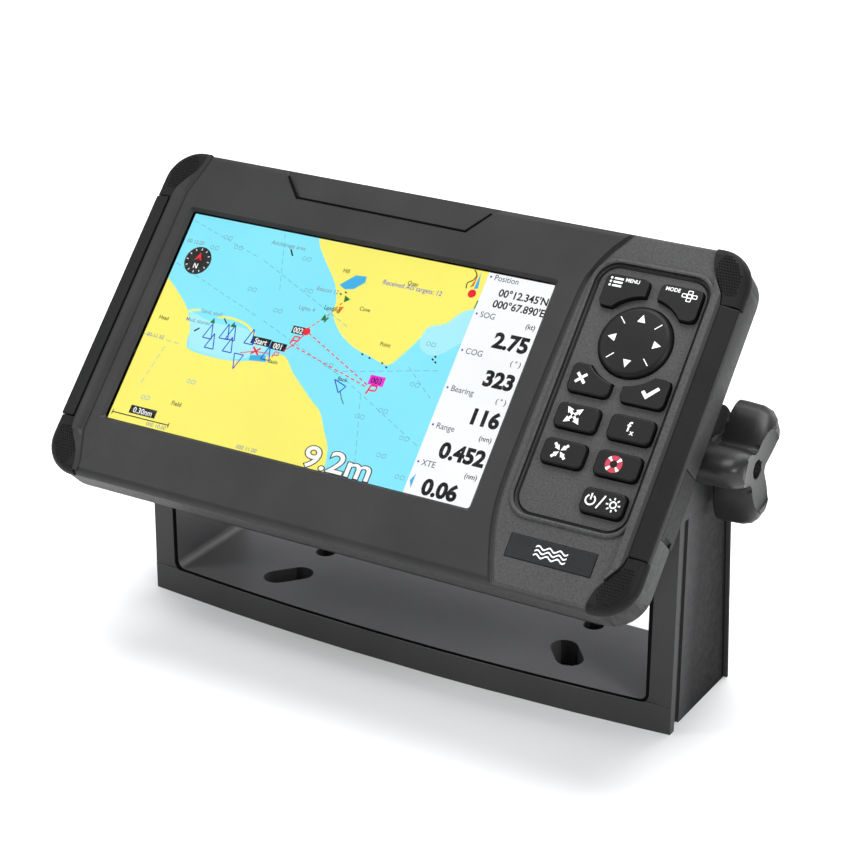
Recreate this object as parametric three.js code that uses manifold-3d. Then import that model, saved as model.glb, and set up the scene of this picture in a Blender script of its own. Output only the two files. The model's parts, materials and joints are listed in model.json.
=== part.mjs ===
import * as THREE from "three";
import { mergeVertices } from "three/addons/utils/BufferGeometryUtils.js";
import Module from "manifold-3d";

const wasm = await Module();
wasm.setup();

// Driving dimensions in millimetres. The part frame has its origin at the middle of the bracket's
// underside, +X to the right, +Y to the back and +Z up.
const pivotHeight = 97.6;
const restTilt = THREE.MathUtils.degToRad(43.9);
const gap = 0.3;

// The head is drawn upright with its origin on the tilt axis: X right, Y back, Z up.
const head = { halfWidth: 120.6, top: 60.4, bottom: -73.6, corner: 13, front: -42, seam: -38.7 };
const band = { inset: 0.3, front: -38.4, back: -25.5, wall: 4.2, rearBevel: 1.8 };
const shell = { halfWidth: 97, top: 50, bottom: -64, back: 19, wall: 3, corner: 10, rearBevel: 5 };
const screen = { x: -25.4, y: -39.1, z: -6.6, width: 154.1, height: 85.9 };
const keypad = { left: 66.1, right: 109.4, bottom: -47.2, top: 48.3, corner: 8, floor: -41 };
const arrowPad = { x: 88.6, z: 20.9, radius: 13.25, moat: 3.4, pivotHole: 2.6, pivot: 2.2 };
const key = { front: -42.6, back: -37.8, corner: 2.2, clearance: 0.35 };
const guard = { reach: 15, drop: 20.4, proud: 0.3, front: -42.5, skin: 1.5, skirt: 2.6 };
const strip = { width: 6.4, front: -42.1, back: -40.8 };
const cardDoor = { bottom: -42.8, top: -17.6, front: -36.9, back: -25.8, inner: 118.5, outer: 120.2 };
const cardSlot = { inner: 110, front: -33.1, back: -29.3, bottom: -42.4, top: -18 };
const cardBox = { left: 84, right: 115.8, front: -32.9, back: -29.5, bottom: -42.2, top: -18.2, wall: 0.6 };
const lensPocket = { width: 165.6, height: 100.6, radius: 1.5, floor: -40.5 };
const glass = { width: 165, height: 100, radius: 1.2, lensFront: -40.2, lensBack: -39.4, lcdBack: -33.6 };
const keySheet = { left: 67, right: 108.5, bottom: -44.5, top: 45.5, corner: 4, matFront: -37.1, matBack: -36 };
const keyBoard = { front: -35.7, back: -34.1 };
const namePlate = { left: 71, right: 103, front: -42.1, back: -41.6, bottom: -62.6, top: -54.5 };
const buzzer = { radius: 8, front: 6.5, back: 15.6, x: 72, z: -34 };
const washer = { bore: 3.6, rubber: 14, rubberFrom: 100.9, rubberTo: 102.3, steel: 9, steelFrom: 112.6, steelTo: 113.8 };
const plateSeat = { left: 70.7, right: 103.3, bottom: -62.9, top: -54.2, floor: -41.4 };
const lcdFrameSize = { width: 172, height: 104, corner: 2, front: -33.3, back: -32.3 };
const frameWindow = { spacing: 50, halfWidth: 18, halfHeight: 30, corner: 4 };
const boss = { radius: 15, from: 95, to: 100.6, neckRadius: 9, neckFrom: 84.5, seat: 5.3, seatFrom: 86.7 };
const insert = { outer: 5, bore: 3.3, from: 87, to: 100.4, floor: 88.6 };
// the main board and the parts on it: left, right, front, back, bottom, top
const boardBlocks = [
  [-85, 60, -27.6, -26, -52, 40], [-50, -30, -26.1, -23.5, -15, 5], [-10, 4, -26.1, -24, 5, 19],
  [20, 45, -26.1, -18, -40, -26], [-75, -55, -26.1, -16, 15, 30],
];

const yoke = { halfWidth: 112.3, halfDepth: 24.85, floor: 10.5, arm: 9.7, bulge: 5.8, innerCorner: 3.5 };
const armTop = { z: 117.1, front: -23.85, back: 17.2, corner: 17 };
const sideGroove = { offset: 3.2, width: 6.4, depth: 2.5 };
const sidePanel = { depth: 1.3, rearFlange: 1.2 };
const frontSlot = { x: 61.5, y: -7, length: 20, width: 10.5, angle: THREE.MathUtils.degToRad(50) };
const rearHole = { x: 60, y: 17.4, radius: 4 };

const stud = { radius: 3, inner: 90, outer: 126.5 };
const knob = {
  inner: 114.1, outer: 130.3, mean: 15.8, lobe: 8.2, shoulder: 4.5, bore: 3.5, phase: THREE.MathUtils.degToRad(35),
};

const far = 300;

const finishes = {
  housing: [0x434345, 0.55, 0],
  rubber: [0x303032, 0.75, 0],
  keyRubber: [0x232325, 0.6, 0],
  glass: [0x11151a, 0.05, 0],
  display: [0x6fd0e6, 0.3, 0],
  board: [0x1d5a35, 0.5, 0.1],
  metal: [0xb9bcc0, 0.3, 1],
  brass: [0xb8924a, 0.35, 1],
  plate: [0x2b2d31, 0.4, 0.1],
  bracket: [0x2c2c2e, 0.45, 0],
  knob: [0x1d1d1f, 0.25, 0],
};

// ---- solids ----

function toSolid(geometry) {
  const bare = geometry.clone();
  bare.deleteAttribute("normal");
  bare.deleteAttribute("uv");
  const merged = mergeVertices(bare, 1e-4);
  return new wasm.Manifold(new wasm.Mesh({
    numProp: 3,
    vertProperties: merged.attributes.position.array,
    triVerts: new Uint32Array(merged.index.array),
  }));
}

function toGeometry(solid) {
  const { vertProperties, triVerts } = solid.getMesh();
  const geometry = new THREE.BufferGeometry();
  geometry.setAttribute("position", new THREE.BufferAttribute(vertProperties, 3));
  geometry.setIndex(new THREE.BufferAttribute(triVerts, 1));
  geometry.computeVertexNormals();
  return geometry;
}

function join(...solids) {
  return solids.reduce((whole, solid) => whole.add(solid));
}

function cut(solid, ...tools) {
  return tools.reduce((rest, tool) => rest.subtract(tool), solid);
}

// An outline drawn in X and Z, extruded along Y from front to back.
function plate(outline, front, back, curveSegments = 5) {
  const geometry = new THREE.ExtrudeGeometry(outline, {
    depth: back - front,
    bevelEnabled: false,
    curveSegments,
  });
  return toSolid(geometry.rotateX(Math.PI / 2).translate(0, back, 0));
}

// The same plate with the edge of its front or its back face chamfered.
function chamferedPlate(outline, front, back, chamfer, face) {
  const spare = chamfer + 1;
  const from = face === "front" ? front : front - spare;
  const to = face === "front" ? back + spare : back;
  const geometry = new THREE.ExtrudeGeometry(outline, {
    depth: to - from - 2 * chamfer,
    bevelThickness: chamfer,
    bevelSize: chamfer,
    bevelOffset: -chamfer,
    bevelSegments: 1,
    curveSegments: 5,
  });
  const whole = toSolid(geometry.rotateX(Math.PI / 2).translate(0, to - chamfer, 0));
  return whole.intersect(box(-far, far, front, back, -far, far));
}

function box(left, right, front, back, bottom, top) {
  const geometry = new THREE.BoxGeometry(right - left, back - front, top - bottom);
  return toSolid(geometry.translate((left + right) / 2, (front + back) / 2, (bottom + top) / 2));
}

// A turned piece about a line along Y through (x, z); the profile lists [radius, y] from front to back.
function turned(profile, x = 0, z = 0, segments = 16) {
  const points = profile.map(([radius, y]) => new THREE.Vector2(radius, y));
  return toSolid(new THREE.LatheGeometry(points, segments).translate(x, 0, z));
}

function cylinder(radius, front, back, x, z, segments = 16) {
  return turned([[0, front], [radius, front], [radius, back], [0, back]], x, z, segments);
}

// A turned piece about the tilt axis; the profile lists [radius, x] outwards.
function turnedOnAxis(profile, segments = 20) {
  const points = profile.map(([radius, x]) => new THREE.Vector2(radius, x));
  return toSolid(new THREE.LatheGeometry(points, segments).rotateZ(-Math.PI / 2));
}

function axisRing(inner, outer, from, to, segments = 20) {
  const profile = [[inner, from], [outer, from], [outer, to], [inner, to], [inner, from]];
  return turnedOnAxis(profile, segments);
}

function axisCylinder(radius, from, to, segments = 20) {
  return turnedOnAxis([[0, from], [radius, from], [radius, to], [0, to]], segments);
}

// ---- outlines ----

function roundedRect(left, right, bottom, top, radius) {
  const shape = new THREE.Shape();
  shape.moveTo(left + radius, bottom);
  shape.lineTo(right - radius, bottom);
  shape.absarc(right - radius, bottom + radius, radius, -Math.PI / 2, 0);
  shape.lineTo(right, top - radius);
  shape.absarc(right - radius, top - radius, radius, 0, Math.PI / 2);
  shape.lineTo(left + radius, top);
  shape.absarc(left + radius, top - radius, radius, Math.PI / 2, Math.PI);
  shape.lineTo(left, bottom + radius);
  shape.absarc(left + radius, bottom + radius, radius, Math.PI, 1.5 * Math.PI);
  return shape;
}

// The head's outline, moved in by inset all round.
function headOutline(inset) {
  const { halfWidth, bottom, top, corner } = head;
  return roundedRect(-halfWidth + inset, halfWidth - inset, bottom + inset, top - inset, corner - inset);
}

function polygon(points) {
  return new THREE.Shape(points.map(([x, y]) => new THREE.Vector2(x, y)));
}

function screenRect(width, height, radius) {
  const { x, z } = screen;
  return roundedRect(x - width / 2, x + width / 2, z - height / 2, z + height / 2, radius);
}

// The part of the head's outline that a corner guard covers; sideX and sideZ are -1 or 1.
function guardRegion(sideX, sideZ, grow) {
  const edgeX = sideX * head.halfWidth;
  const edgeZ = sideZ > 0 ? head.top : head.bottom;
  const { reach, drop } = guard;
  const inner = [
    [-4, -4], [reach + grow, -4], [reach + grow, 7], [8 + grow, 15], [7 + grow, drop + grow], [-4, drop + grow],
  ];
  const points = inner.map(([x, z]) => [edgeX - sideX * x, edgeZ - sideZ * z]);
  return polygon(sideX * sideZ > 0 ? points : points.reverse());
}

const corners = [
  ["top_left", -1, 1], ["top_right", 1, 1], ["bottom_left", -1, -1], ["bottom_right", 1, -1],
];

const keys = [
  { name: "key_menu", left: 70.5, right: 86.6, bottom: 31.6, top: 43.6 },
  { name: "key_mode", left: 91, right: 106.8, bottom: 31.6, top: 43.6 },
  { name: "key_cancel", left: 70.5, right: 86.3, bottom: -1.2, top: 9.6 },
  { name: "key_enter", left: 90.5, right: 106.8, bottom: -1.2, top: 9.6 },
  { name: "key_zoom_out", left: 70.5, right: 86.3, bottom: -14.6, top: -5.4 },
  { name: "key_function", left: 90.5, right: 106.8, bottom: -14.6, top: -5.4 },
  { name: "key_zoom_in", left: 70.5, right: 86.3, bottom: -27.9, top: -18.7 },
  { name: "key_distress", left: 90.5, right: 106.8, bottom: -27.9, top: -18.7 },
  { name: "key_power", left: 90.5, right: 106.3, bottom: -41.6, top: -32.6 },
];

// One key's block, clear of the round arrow pad; grow makes the hole that it moves in.
function keyBlock({ left, right, bottom, top }, front, back, grow = 0) {
  const outline = roundedRect(left - grow, right + grow, bottom - grow, top + grow, key.corner + grow);
  const moat = arrowPad.radius + arrowPad.moat - grow;
  return cut(plate(outline, front, back, 2), cylinder(moat, front - 1, back + 1, arrowPad.x, arrowPad.z, 40));
}

// ---- head ----

const caseScrews = [[-109, 50.2], [8, 54.2], [109, 50.2], [-109, -62.4], [8, -68.6], [109, -62.4]];
const screw = { headRadius: 2.8, headFront: -27.5, headBack: -25.7, shank: 1.4, tip: -39.6, hole: 1.7, post: 3.6 };
const socketX = [-48, -14, 20];
const socket = { z: -12, hole: 8.6, shank: 8.2, flange: 12, barrel: 9.6, bore: 7.4, mouth: 28.5, floor: 21.7 };
const vent = { x: 58, z: 22, hole: 3.4, shank: 3, flange: 6 };

function frontBezel() {
  const { halfWidth, front, seam } = head;
  const shape = chamferedPlate(headOutline(0), front, seam, 1.6, "front");
  const window = plate(screenRect(screen.width + 0.6, screen.height + 0.6, 1.2), front - 1, 0, 3);
  const pocket = plate(screenRect(lensPocket.width, lensPocket.height, lensPocket.radius), lensPocket.floor, 0, 2);
  const { left, right, bottom, top, corner, floor } = keypad;
  const recess = plate(roundedRect(left, right, bottom, top, corner), front - 1, floor, 4);
  const keyHoles = keys.map((one) => keyBlock(one, front - 2, 0, key.clearance));
  const padHole = cylinder(arrowPad.radius + key.clearance, front - 1, 0, arrowPad.x, arrowPad.z, 40);
  const seat = box(plateSeat.left, plateSeat.right, front - 1, plateSeat.floor, plateSeat.bottom, plateSeat.top);
  const core = plate(headOutline(guard.skirt), guard.front + guard.skin + gap, 0);
  const guardSeats = corners.map(([, sideX, sideZ]) =>
    cut(plate(guardRegion(sideX, sideZ, gap), front - 3, 0), core));
  const stripSeats = [-1, 1].map((side) => {
    const inner = side * (halfWidth - strip.width - gap);
    const outer = side * (halfWidth + 5);
    const [low, high] = [Math.min(inner, outer), Math.max(inner, outer)];
    const ends = [head.bottom + guard.drop - 1, head.top - guard.drop + 1];
    return box(low, high, front - 3, strip.back + gap, ...ends);
  });
  const screwHoles = caseScrews.map(([x, z]) => cylinder(screw.hole, screw.tip - gap, 0, x, z, 10));
  return cut(
    shape, window, pocket, recess, ...keyHoles, padHole, seat, ...guardSeats, ...stripSeats, ...screwHoles,
  );
}

function cornerGuard(sideX, sideZ) {
  const { front, skin, skirt, proud } = guard;
  const shell = cut(
    chamferedPlate(headOutline(-proud), front, head.seam - 0.2, 1.4, "front"),
    plate(headOutline(skirt - gap), front + skin, 0),
  );
  return shell.intersect(plate(guardRegion(sideX, sideZ, 0), front - 3, 0));
}

function sideStrip(side) {
  const inner = side * (head.halfWidth - strip.width);
  const outer = side * (head.halfWidth + 0.2);
  const bottom = head.bottom + guard.drop + 0.4;
  const top = head.top - guard.drop - 0.4;
  const outline = roundedRect(Math.min(inner, outer), Math.max(inner, outer), bottom, top, 0.8);
  return plate(outline, strip.front, strip.back, 1);
}

function rearHousing() {
  const { halfWidth, back, wall, corner } = shell;
  const tray = chamferedPlate(headOutline(band.inset), band.front, band.back, band.rearBevel, "back");
  const trayRoom = plate(headOutline(band.inset + band.wall), band.front - 1, band.back - 3.5);
  const body = chamferedPlate(
    roundedRect(-halfWidth, halfWidth, shell.bottom, shell.top, corner), band.back - 3.5, back, shell.rearBevel, "back",
  );
  const bodyRoom = chamferedPlate(
    roundedRect(-halfWidth + wall, halfWidth - wall, shell.bottom + wall, shell.top - wall, corner - wall),
    band.front - 1, back - wall, shell.rearBevel - 1, "back",
  );
  const screwPosts = caseScrews.map(([x, z]) => cylinder(screw.post, band.front, band.back - 1, x, z, 12));
  const pivotBosses = [-1, 1].map((side) => join(
    axisCylinder(boss.radius, boss.from, boss.to).rotate([0, 0, side > 0 ? 0 : 180]),
    axisCylinder(boss.neckRadius, boss.neckFrom, boss.from + 1).rotate([0, 0, side > 0 ? 0 : 180]),
  ));
  const insertSeats = [-1, 1].map((side) => axisCylinder(boss.seat, boss.seatFrom, 110).rotate([0, 0, side > 0 ? 0 : 180]));
  const sealGroove = cut(
    plate(headOutline(band.inset + 1.2), band.front - 1, band.front + 1),
    plate(headOutline(band.inset + 3), band.front - 2, band.front + 2),
  );
  const doorSeat = box(
    cardDoor.inner - gap, 130, cardDoor.front - gap, -20, cardDoor.bottom - gap, cardDoor.top + gap,
  );
  const slot = box(cardSlot.inner, 130, cardSlot.front, cardSlot.back, cardSlot.bottom, cardSlot.top);
  const socketHoles = socketX.map((x) => cylinder(socket.hole, 10, 30, x, socket.z, 20));
  const ventHole = cylinder(vent.hole, 10, 30, vent.x, vent.z, 12);
  const screwHoles = caseScrews.map(([x, z]) => turned(
    [[0, -45], [1.8, -45], [1.8, -27.8], [3.3, -27.8], [3.3, -20], [0, -20]], x, z, 12,
  ));
  const hollow = cut(join(tray, body), trayRoom, bodyRoom);
  return cut(
    join(hollow, ...screwPosts, ...pivotBosses),
    ...insertSeats, sealGroove, doorSeat, slot, ...socketHoles, ventHole, ...screwHoles,
  );
}

function housingSeal() {
  return cut(
    plate(headOutline(band.inset + 1.4), band.front, band.front + 0.8),
    plate(headOutline(band.inset + 2.8), band.front - 1, band.front + 2),
  );
}

function lcdFrame() {
  const { width, height, corner, front, back } = lcdFrameSize;
  const { spacing, halfWidth, halfHeight, corner: radius } = frameWindow;
  const sheet = plate(screenRect(width, height, corner), front, back, 2);
  const windows = [-spacing, 0, spacing].map((step) => {
    const x = screen.x + step;
    const outline = roundedRect(x - halfWidth, x + halfWidth, screen.z - halfHeight, screen.z + halfHeight, radius);
    return plate(outline, front - 1, back + 1, 2);
  });
  return cut(sheet, ...windows);
}

function mainBoard() {
  return join(...boardBlocks.map((limits) => box(...limits)));
}

function cardSocket() {
  const { left, right, front, back, bottom, top, wall } = cardBox;
  return cut(
    box(left, right, front, back, bottom, top),
    box(left + 10 * wall, right + 1, front + wall, back - wall, bottom + wall, top - wall),
  );
}

function arrowPadCap() {
  const { x, z, radius } = arrowPad;
  const cap = turned(
    [[0, key.front + 0.5], [radius - 4, key.front], [radius - 1, key.front + 0.2], [radius, key.front + 1],
      [radius, key.back], [0, key.back]],
    x, z, 32,
  );
  return cut(cap, cylinder(arrowPad.pivotHole, key.back - 2, key.back + 1, x, z, 12));
}

function caseScrew(x, z) {
  const { headRadius, headFront, headBack, shank, tip } = screw;
  return turned(
    [[0, tip], [shank, tip], [shank, headFront], [headRadius, headFront], [headRadius, headBack], [0, headBack]], x, z, 12,
  );
}

function rearSocket(x) {
  const { shank, flange, barrel, bore, mouth, floor, z } = socket;
  const face = shell.back + gap;
  return turned(
    [[0, 13], [shank, 13], [shank, face], [flange, face], [flange, face + 2], [barrel, face + 2], [barrel, mouth],
      [bore, mouth], [bore, floor], [0, floor]],
    x, z, 20,
  );
}

function ventPlug() {
  const face = shell.back + gap;
  return turned(
    [[0, 13.5], [vent.shank, 13.5], [vent.shank, face], [vent.flange, face], [vent.flange, face + 1.6],
      [vent.flange - 1.2, face + 2.6], [0, face + 2.6]],
    vent.x, vent.z, 14,
  );
}

function pivotInsert() {
  const { outer, bore, from, to, floor } = insert;
  return turnedOnAxis([[0, from], [outer, from], [outer, to], [bore, to], [bore, floor], [0, floor]]);
}

// ---- bracket and knobs, in the part frame ----

// Turns an outline drawn in Y and Z into a solid between two X stations.
function sideProfile(outline, from, to, curveSegments = 6) {
  const geometry = new THREE.ExtrudeGeometry(outline, { depth: to - from, bevelEnabled: false, curveSegments });
  return toSolid(geometry.rotateX(Math.PI / 2).rotateZ(Math.PI / 2).translate(from, 0, 0));
}

// An outline drawn in X and Y, extruded up from low to high.
function planProfile(outline, low, high, curveSegments = 12) {
  const geometry = new THREE.ExtrudeGeometry(outline, { depth: high - low, bevelEnabled: false, curveSegments });
  return toSolid(geometry.translate(0, 0, low));
}

function armOutline() {
  const { z, front, back, corner } = armTop;
  const shape = new THREE.Shape();
  shape.moveTo(-yoke.halfDepth, 0);
  shape.lineTo(yoke.halfDepth, 0);
  shape.lineTo(back, z - corner);
  shape.absarc(back - corner, z - corner, corner, 0, Math.PI / 2);
  shape.lineTo(front + corner, z);
  shape.absarc(front + corner, z - corner, corner, Math.PI / 2, Math.PI);
  return shape;
}

function bracketYoke() {
  const { halfWidth, halfDepth, floor, arm, bulge, innerCorner } = yoke;
  const inner = halfWidth - arm;
  const uBlock = cut(
    box(-halfWidth, halfWidth, -40, 40, 0, armTop.z + 1),
    plate(roundedRect(-inner, inner, floor, armTop.z + 40, innerCorner), -50, 50, 3),
  );
  const side = join(
    sideProfile(armOutline(), -far, far),
    box(-far, far, -halfDepth - bulge, -halfDepth + 1, 0, floor),
  );
  const bowRadius = (halfWidth ** 2 + bulge ** 2) / (2 * bulge);
  const bowAngle = Math.asin(halfWidth / bowRadius);
  const plan = new THREE.Shape();
  plan.absarc(0, bowRadius - halfDepth - bulge, bowRadius, -Math.PI / 2 - bowAngle, -Math.PI / 2 + bowAngle);
  plan.lineTo(halfWidth, halfDepth);
  plan.lineTo(-halfWidth, halfDepth);
  const body = uBlock.intersect(side).intersect(planProfile(plan, -1, armTop.z + 2));
  const lean = (armTop.front + halfDepth) / (armTop.z - armTop.corner);
  const rearLean = (halfDepth - armTop.back) / (armTop.z - armTop.corner);
  const grooveFront = -halfDepth + sideGroove.offset;
  const grooveBack = grooveFront + sideGroove.width;
  const panelBack = halfDepth - sidePanel.rearFlange;
  const tall = 80;
  const leanAt = tall + 2;
  const groove = polygon([
    [grooveFront, -1], [grooveBack, -1], [grooveBack + lean * leanAt, leanAt], [grooveFront + lean * leanAt, leanAt],
  ]);
  const panel = polygon([
    [grooveBack - 0.1, -1], [panelBack, -1], [panelBack - rearLean * leanAt, leanAt],
    [grooveBack - 0.1 + lean * leanAt, leanAt],
  ]);
  const sideCuts = [-1, 1].flatMap((sign) => {
    const reach = (depth) => (sign > 0 ? [halfWidth - depth, halfWidth + 5] : [-halfWidth - 5, -halfWidth + depth]);
    return [sideProfile(groove, ...reach(sideGroove.depth)), sideProfile(panel, ...reach(sidePanel.depth))];
  });
  const slots = [-1, 1].map((sign) => {
    const radius = frontSlot.width / 2;
    const half = frontSlot.length / 2 - radius;
    const shape = new THREE.Shape();
    shape.absarc(half, 0, radius, -Math.PI / 2, Math.PI / 2);
    shape.absarc(-half, 0, radius, Math.PI / 2, 1.5 * Math.PI);
    const tool = planProfile(shape, -5, floor + 5, 4);
    return tool.rotate([0, 0, -sign * THREE.MathUtils.radToDeg(frontSlot.angle)])
      .translate([sign * frontSlot.x, frontSlot.y, 0]);
  });
  const holes = [-1, 1].map((sign) => {
    const shape = new THREE.Shape();
    shape.absarc(0, 0, rearHole.radius, 0, 2 * Math.PI);
    return planProfile(shape, -5, floor + 5, 8).translate([sign * rearHole.x, rearHole.y, 0]);
  });
  const pivotHole = axisCylinder(3.6, -far, far, 16).translate([0, 0, pivotHeight]);
  return cut(body, ...sideCuts, ...slots, ...holes, pivotHole);
}

// Three round lobes about the tilt axis: the radius swings between a waist and a lobe three times.
function knobGrip() {
  const steps = 36;
  const points = Array.from({ length: steps }, (_, index) => {
    const angle = (index / steps) * 2 * Math.PI;
    const radius = knob.mean + knob.lobe * Math.cos(3 * (angle - knob.phase));
    return [radius * Math.cos(angle), radius * Math.sin(angle)];
  });
  const geometry = new THREE.ExtrudeGeometry(polygon(points), {
    depth: knob.outer - knob.inner - knob.shoulder,
    bevelThickness: knob.shoulder,
    bevelSize: knob.shoulder,
    bevelOffset: -knob.shoulder,
    bevelSegments: 2,
  });
  const turned = geometry.rotateX(Math.PI / 2).rotateZ(Math.PI / 2);
  const whole = toSolid(turned.translate(knob.inner, 0, 0));
  const grip = whole.intersect(box(knob.inner, far, -far, far, -far, far));
  return cut(grip, axisCylinder(knob.bore, 100, 140, 16));
}

// ---- assembly ----

const part = new THREE.Group();
const headGroup = new THREE.Group();
headGroup.position.set(0, 0, pivotHeight);
headGroup.rotation.x = -restTilt;
part.add(headGroup);

function add(group, name, solid, finish) {
  const [color, roughness, metalness] = finishes[finish];
  const material = new THREE.MeshStandardMaterial({ color, roughness, metalness });
  const mesh = new THREE.Mesh(toGeometry(solid), material);
  mesh.name = name;
  group.add(mesh);
}

add(part, "bracket_yoke", bracketYoke(), "bracket");

add(headGroup, "front_bezel", frontBezel(), "housing");
add(headGroup, "rear_housing", rearHousing(), "housing");
add(headGroup, "housing_seal", housingSeal(), "rubber");
const glassOutline = screenRect(glass.width, glass.height, glass.radius);
const sheetOutline = roundedRect(keySheet.left, keySheet.right, keySheet.bottom, keySheet.top, keySheet.corner);
add(headGroup, "screen_lens", plate(glassOutline, glass.lensFront, glass.lensBack, 2), "glass");
add(headGroup, "lcd_panel", plate(glassOutline, screen.y, glass.lcdBack, 2), "display");
add(headGroup, "lcd_frame", lcdFrame(), "metal");
add(headGroup, "main_board", mainBoard(), "board");
add(headGroup, "keypad_board", plate(sheetOutline, keyBoard.front, keyBoard.back, 2), "board");
add(headGroup, "keypad_mat", plate(sheetOutline, keySheet.matFront, keySheet.matBack, 2), "rubber");
const plateBlock = box(
  namePlate.left, namePlate.right, namePlate.front, namePlate.back, namePlate.bottom, namePlate.top,
);
add(headGroup, "nameplate", plateBlock, "plate");
add(headGroup, "card_socket", cardSocket(), "metal");
add(headGroup, "buzzer", cylinder(buzzer.radius, buzzer.front, buzzer.back, buzzer.x, buzzer.z, 16), "knob");
add(headGroup, "vent_plug", ventPlug(), "rubber");
for (const [place, sideX, sideZ] of corners) {
  add(headGroup, `corner_guard_${place}`, cornerGuard(sideX, sideZ), "rubber");
}
["power_socket", "sonar_socket", "antenna_socket"].forEach((name, index) => {
  add(headGroup, name, rearSocket(socketX[index]), "knob");
});
caseScrews.forEach(([x, z], index) => {
  add(headGroup, `case_screw_${index + 1}`, caseScrew(x, z), "metal");
});

for (const one of keys) {
  add(headGroup, one.name, keyBlock(one, key.front, key.back), "keyRubber");
}
add(headGroup, "arrow_pad", arrowPadCap(), "keyRubber");
const padPivot = cylinder(arrowPad.pivot, key.back - 1.7, key.back + 0.4, arrowPad.x, arrowPad.z, 12);
add(headGroup, "arrow_pad_pivot", padPivot, "metal");

const doorBlock = box(cardDoor.inner, cardDoor.outer, cardDoor.front, cardDoor.back, cardDoor.bottom, cardDoor.top);
add(headGroup, "card_door", doorBlock, "rubber");

for (const [place, side] of [["left", -1], ["right", 1]]) {
  const turn = new THREE.Group();
  turn.rotation.z = side > 0 ? 0 : Math.PI;
  headGroup.add(turn);
  add(turn, `pivot_insert_${place}`, pivotInsert(), "brass");
  add(turn, `friction_washer_${place}`, axisRing(washer.bore, washer.rubber, washer.rubberFrom, washer.rubberTo), "rubber");
  add(headGroup, `side_strip_${place}`, sideStrip(side), "rubber");
  const onPivot = new THREE.Group();
  onPivot.position.z = pivotHeight;
  onPivot.rotation.z = side > 0 ? 0 : Math.PI;
  part.add(onPivot);
  add(onPivot, `knob_grip_${place}`, knobGrip(), "knob");
  add(onPivot, `knob_stud_${place}`, axisCylinder(stud.radius, stud.inner, stud.outer, 16), "metal");
  add(onPivot, `knob_washer_${place}`, axisRing(washer.bore, washer.steel, washer.steelFrom, washer.steelTo), "metal");
}

export default part;
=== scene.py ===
import json
import math

import bpy
from mathutils import Euler, Matrix, Vector


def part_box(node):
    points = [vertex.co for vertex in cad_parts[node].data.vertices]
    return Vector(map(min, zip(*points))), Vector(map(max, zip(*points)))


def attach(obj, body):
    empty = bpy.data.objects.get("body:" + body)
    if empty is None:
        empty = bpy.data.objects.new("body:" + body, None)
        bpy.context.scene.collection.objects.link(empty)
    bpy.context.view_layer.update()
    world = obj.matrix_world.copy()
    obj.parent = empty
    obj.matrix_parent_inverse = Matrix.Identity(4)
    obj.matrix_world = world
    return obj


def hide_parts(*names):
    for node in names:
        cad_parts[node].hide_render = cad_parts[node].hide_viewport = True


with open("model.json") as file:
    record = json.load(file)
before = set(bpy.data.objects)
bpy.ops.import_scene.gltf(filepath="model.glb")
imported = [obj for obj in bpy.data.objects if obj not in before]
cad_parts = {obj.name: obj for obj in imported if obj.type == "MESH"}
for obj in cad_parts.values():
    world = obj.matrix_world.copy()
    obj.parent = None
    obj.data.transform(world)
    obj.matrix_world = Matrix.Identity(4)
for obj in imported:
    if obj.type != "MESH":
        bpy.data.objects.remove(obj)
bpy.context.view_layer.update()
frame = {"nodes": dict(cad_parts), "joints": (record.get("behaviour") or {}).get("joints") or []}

nodes = frame["nodes"]
tiltJoint = next(joint for joint in frame["joints"] if joint["name"] == "head_tilt")
restTilt = math.radians(-tiltJoint["range_deg"][0])

# The head is modelled upright in millimetres about the tilt axis: X right, Y back, Z up.
millimetres = Matrix.Scale(0.001, 4)
headPlace = Matrix.Translation(tiltJoint["pos_m"]) @ Matrix.Rotation(-restTilt, 4, "X") @ millimetres
scene = bpy.context.scene


def headBox(node):
    # lowest and highest corners of a CAD node in the upright head's millimetres
    corners = [headPlace.inverted() @ vertex.co for vertex in nodes[node].data.vertices]
    low = Vector([min(point[axis] for point in corners) for axis in range(3)])
    high = Vector([max(point[axis] for point in corners) for axis in range(3)])
    return low, high


# Camera, lights and floor

view = {"place": (0.42168, -0.71251, 0.44463), "elevation": 23.447, "azimuth": 30.826, "lens": 103.34}
cameraData = bpy.data.cameras.new("camera")
cameraData.lens = view["lens"]
cameraData.sensor_width = 36
cameraData.clip_start = 0.02
camera = bpy.data.objects.new("camera", cameraData)
camera.location = view["place"]
camera.rotation_euler = Euler((math.radians(90 - view["elevation"]), 0, math.radians(view["azimuth"])))
scene.collection.objects.link(camera)
scene.camera = camera
scene.view_settings.view_transform = "Standard"

studio = [
    # name, place, size, watts
    ("overhead", (-0.1, 0.15, 1.6), 1.2, 30),
    ("frontLeft", (-1.3, -1.0, 1.1), 0.6, 13),
    ("frontRight", (1.4, -0.6, 0.8), 0.5, 15),
    ("rear", (0.3, 1.5, 0.9), 1.2, 9),
]


def addLight(name, place, size, watts):
    data = bpy.data.lights.new(name, "AREA")
    data.shape = "DISK"
    data.size = size
    data.energy = watts
    light = bpy.data.objects.new(name, data)
    light.location = place
    towards = Vector((0, 0, 0.08)) - Vector(place)
    light.rotation_euler = towards.to_track_quat("-Z", "Y").to_euler()
    scene.collection.objects.link(light)


for lamp in studio:
    addLight(*lamp)
world = bpy.data.worlds.new("studio")
world.use_nodes = True
world.node_tree.nodes["Background"].inputs["Color"].default_value = (0.95, 0.97, 1.0, 1)
world.node_tree.nodes["Background"].inputs["Strength"].default_value = 0.52
scene.world = world
print("camera and lights set")


# Shader kit

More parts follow.
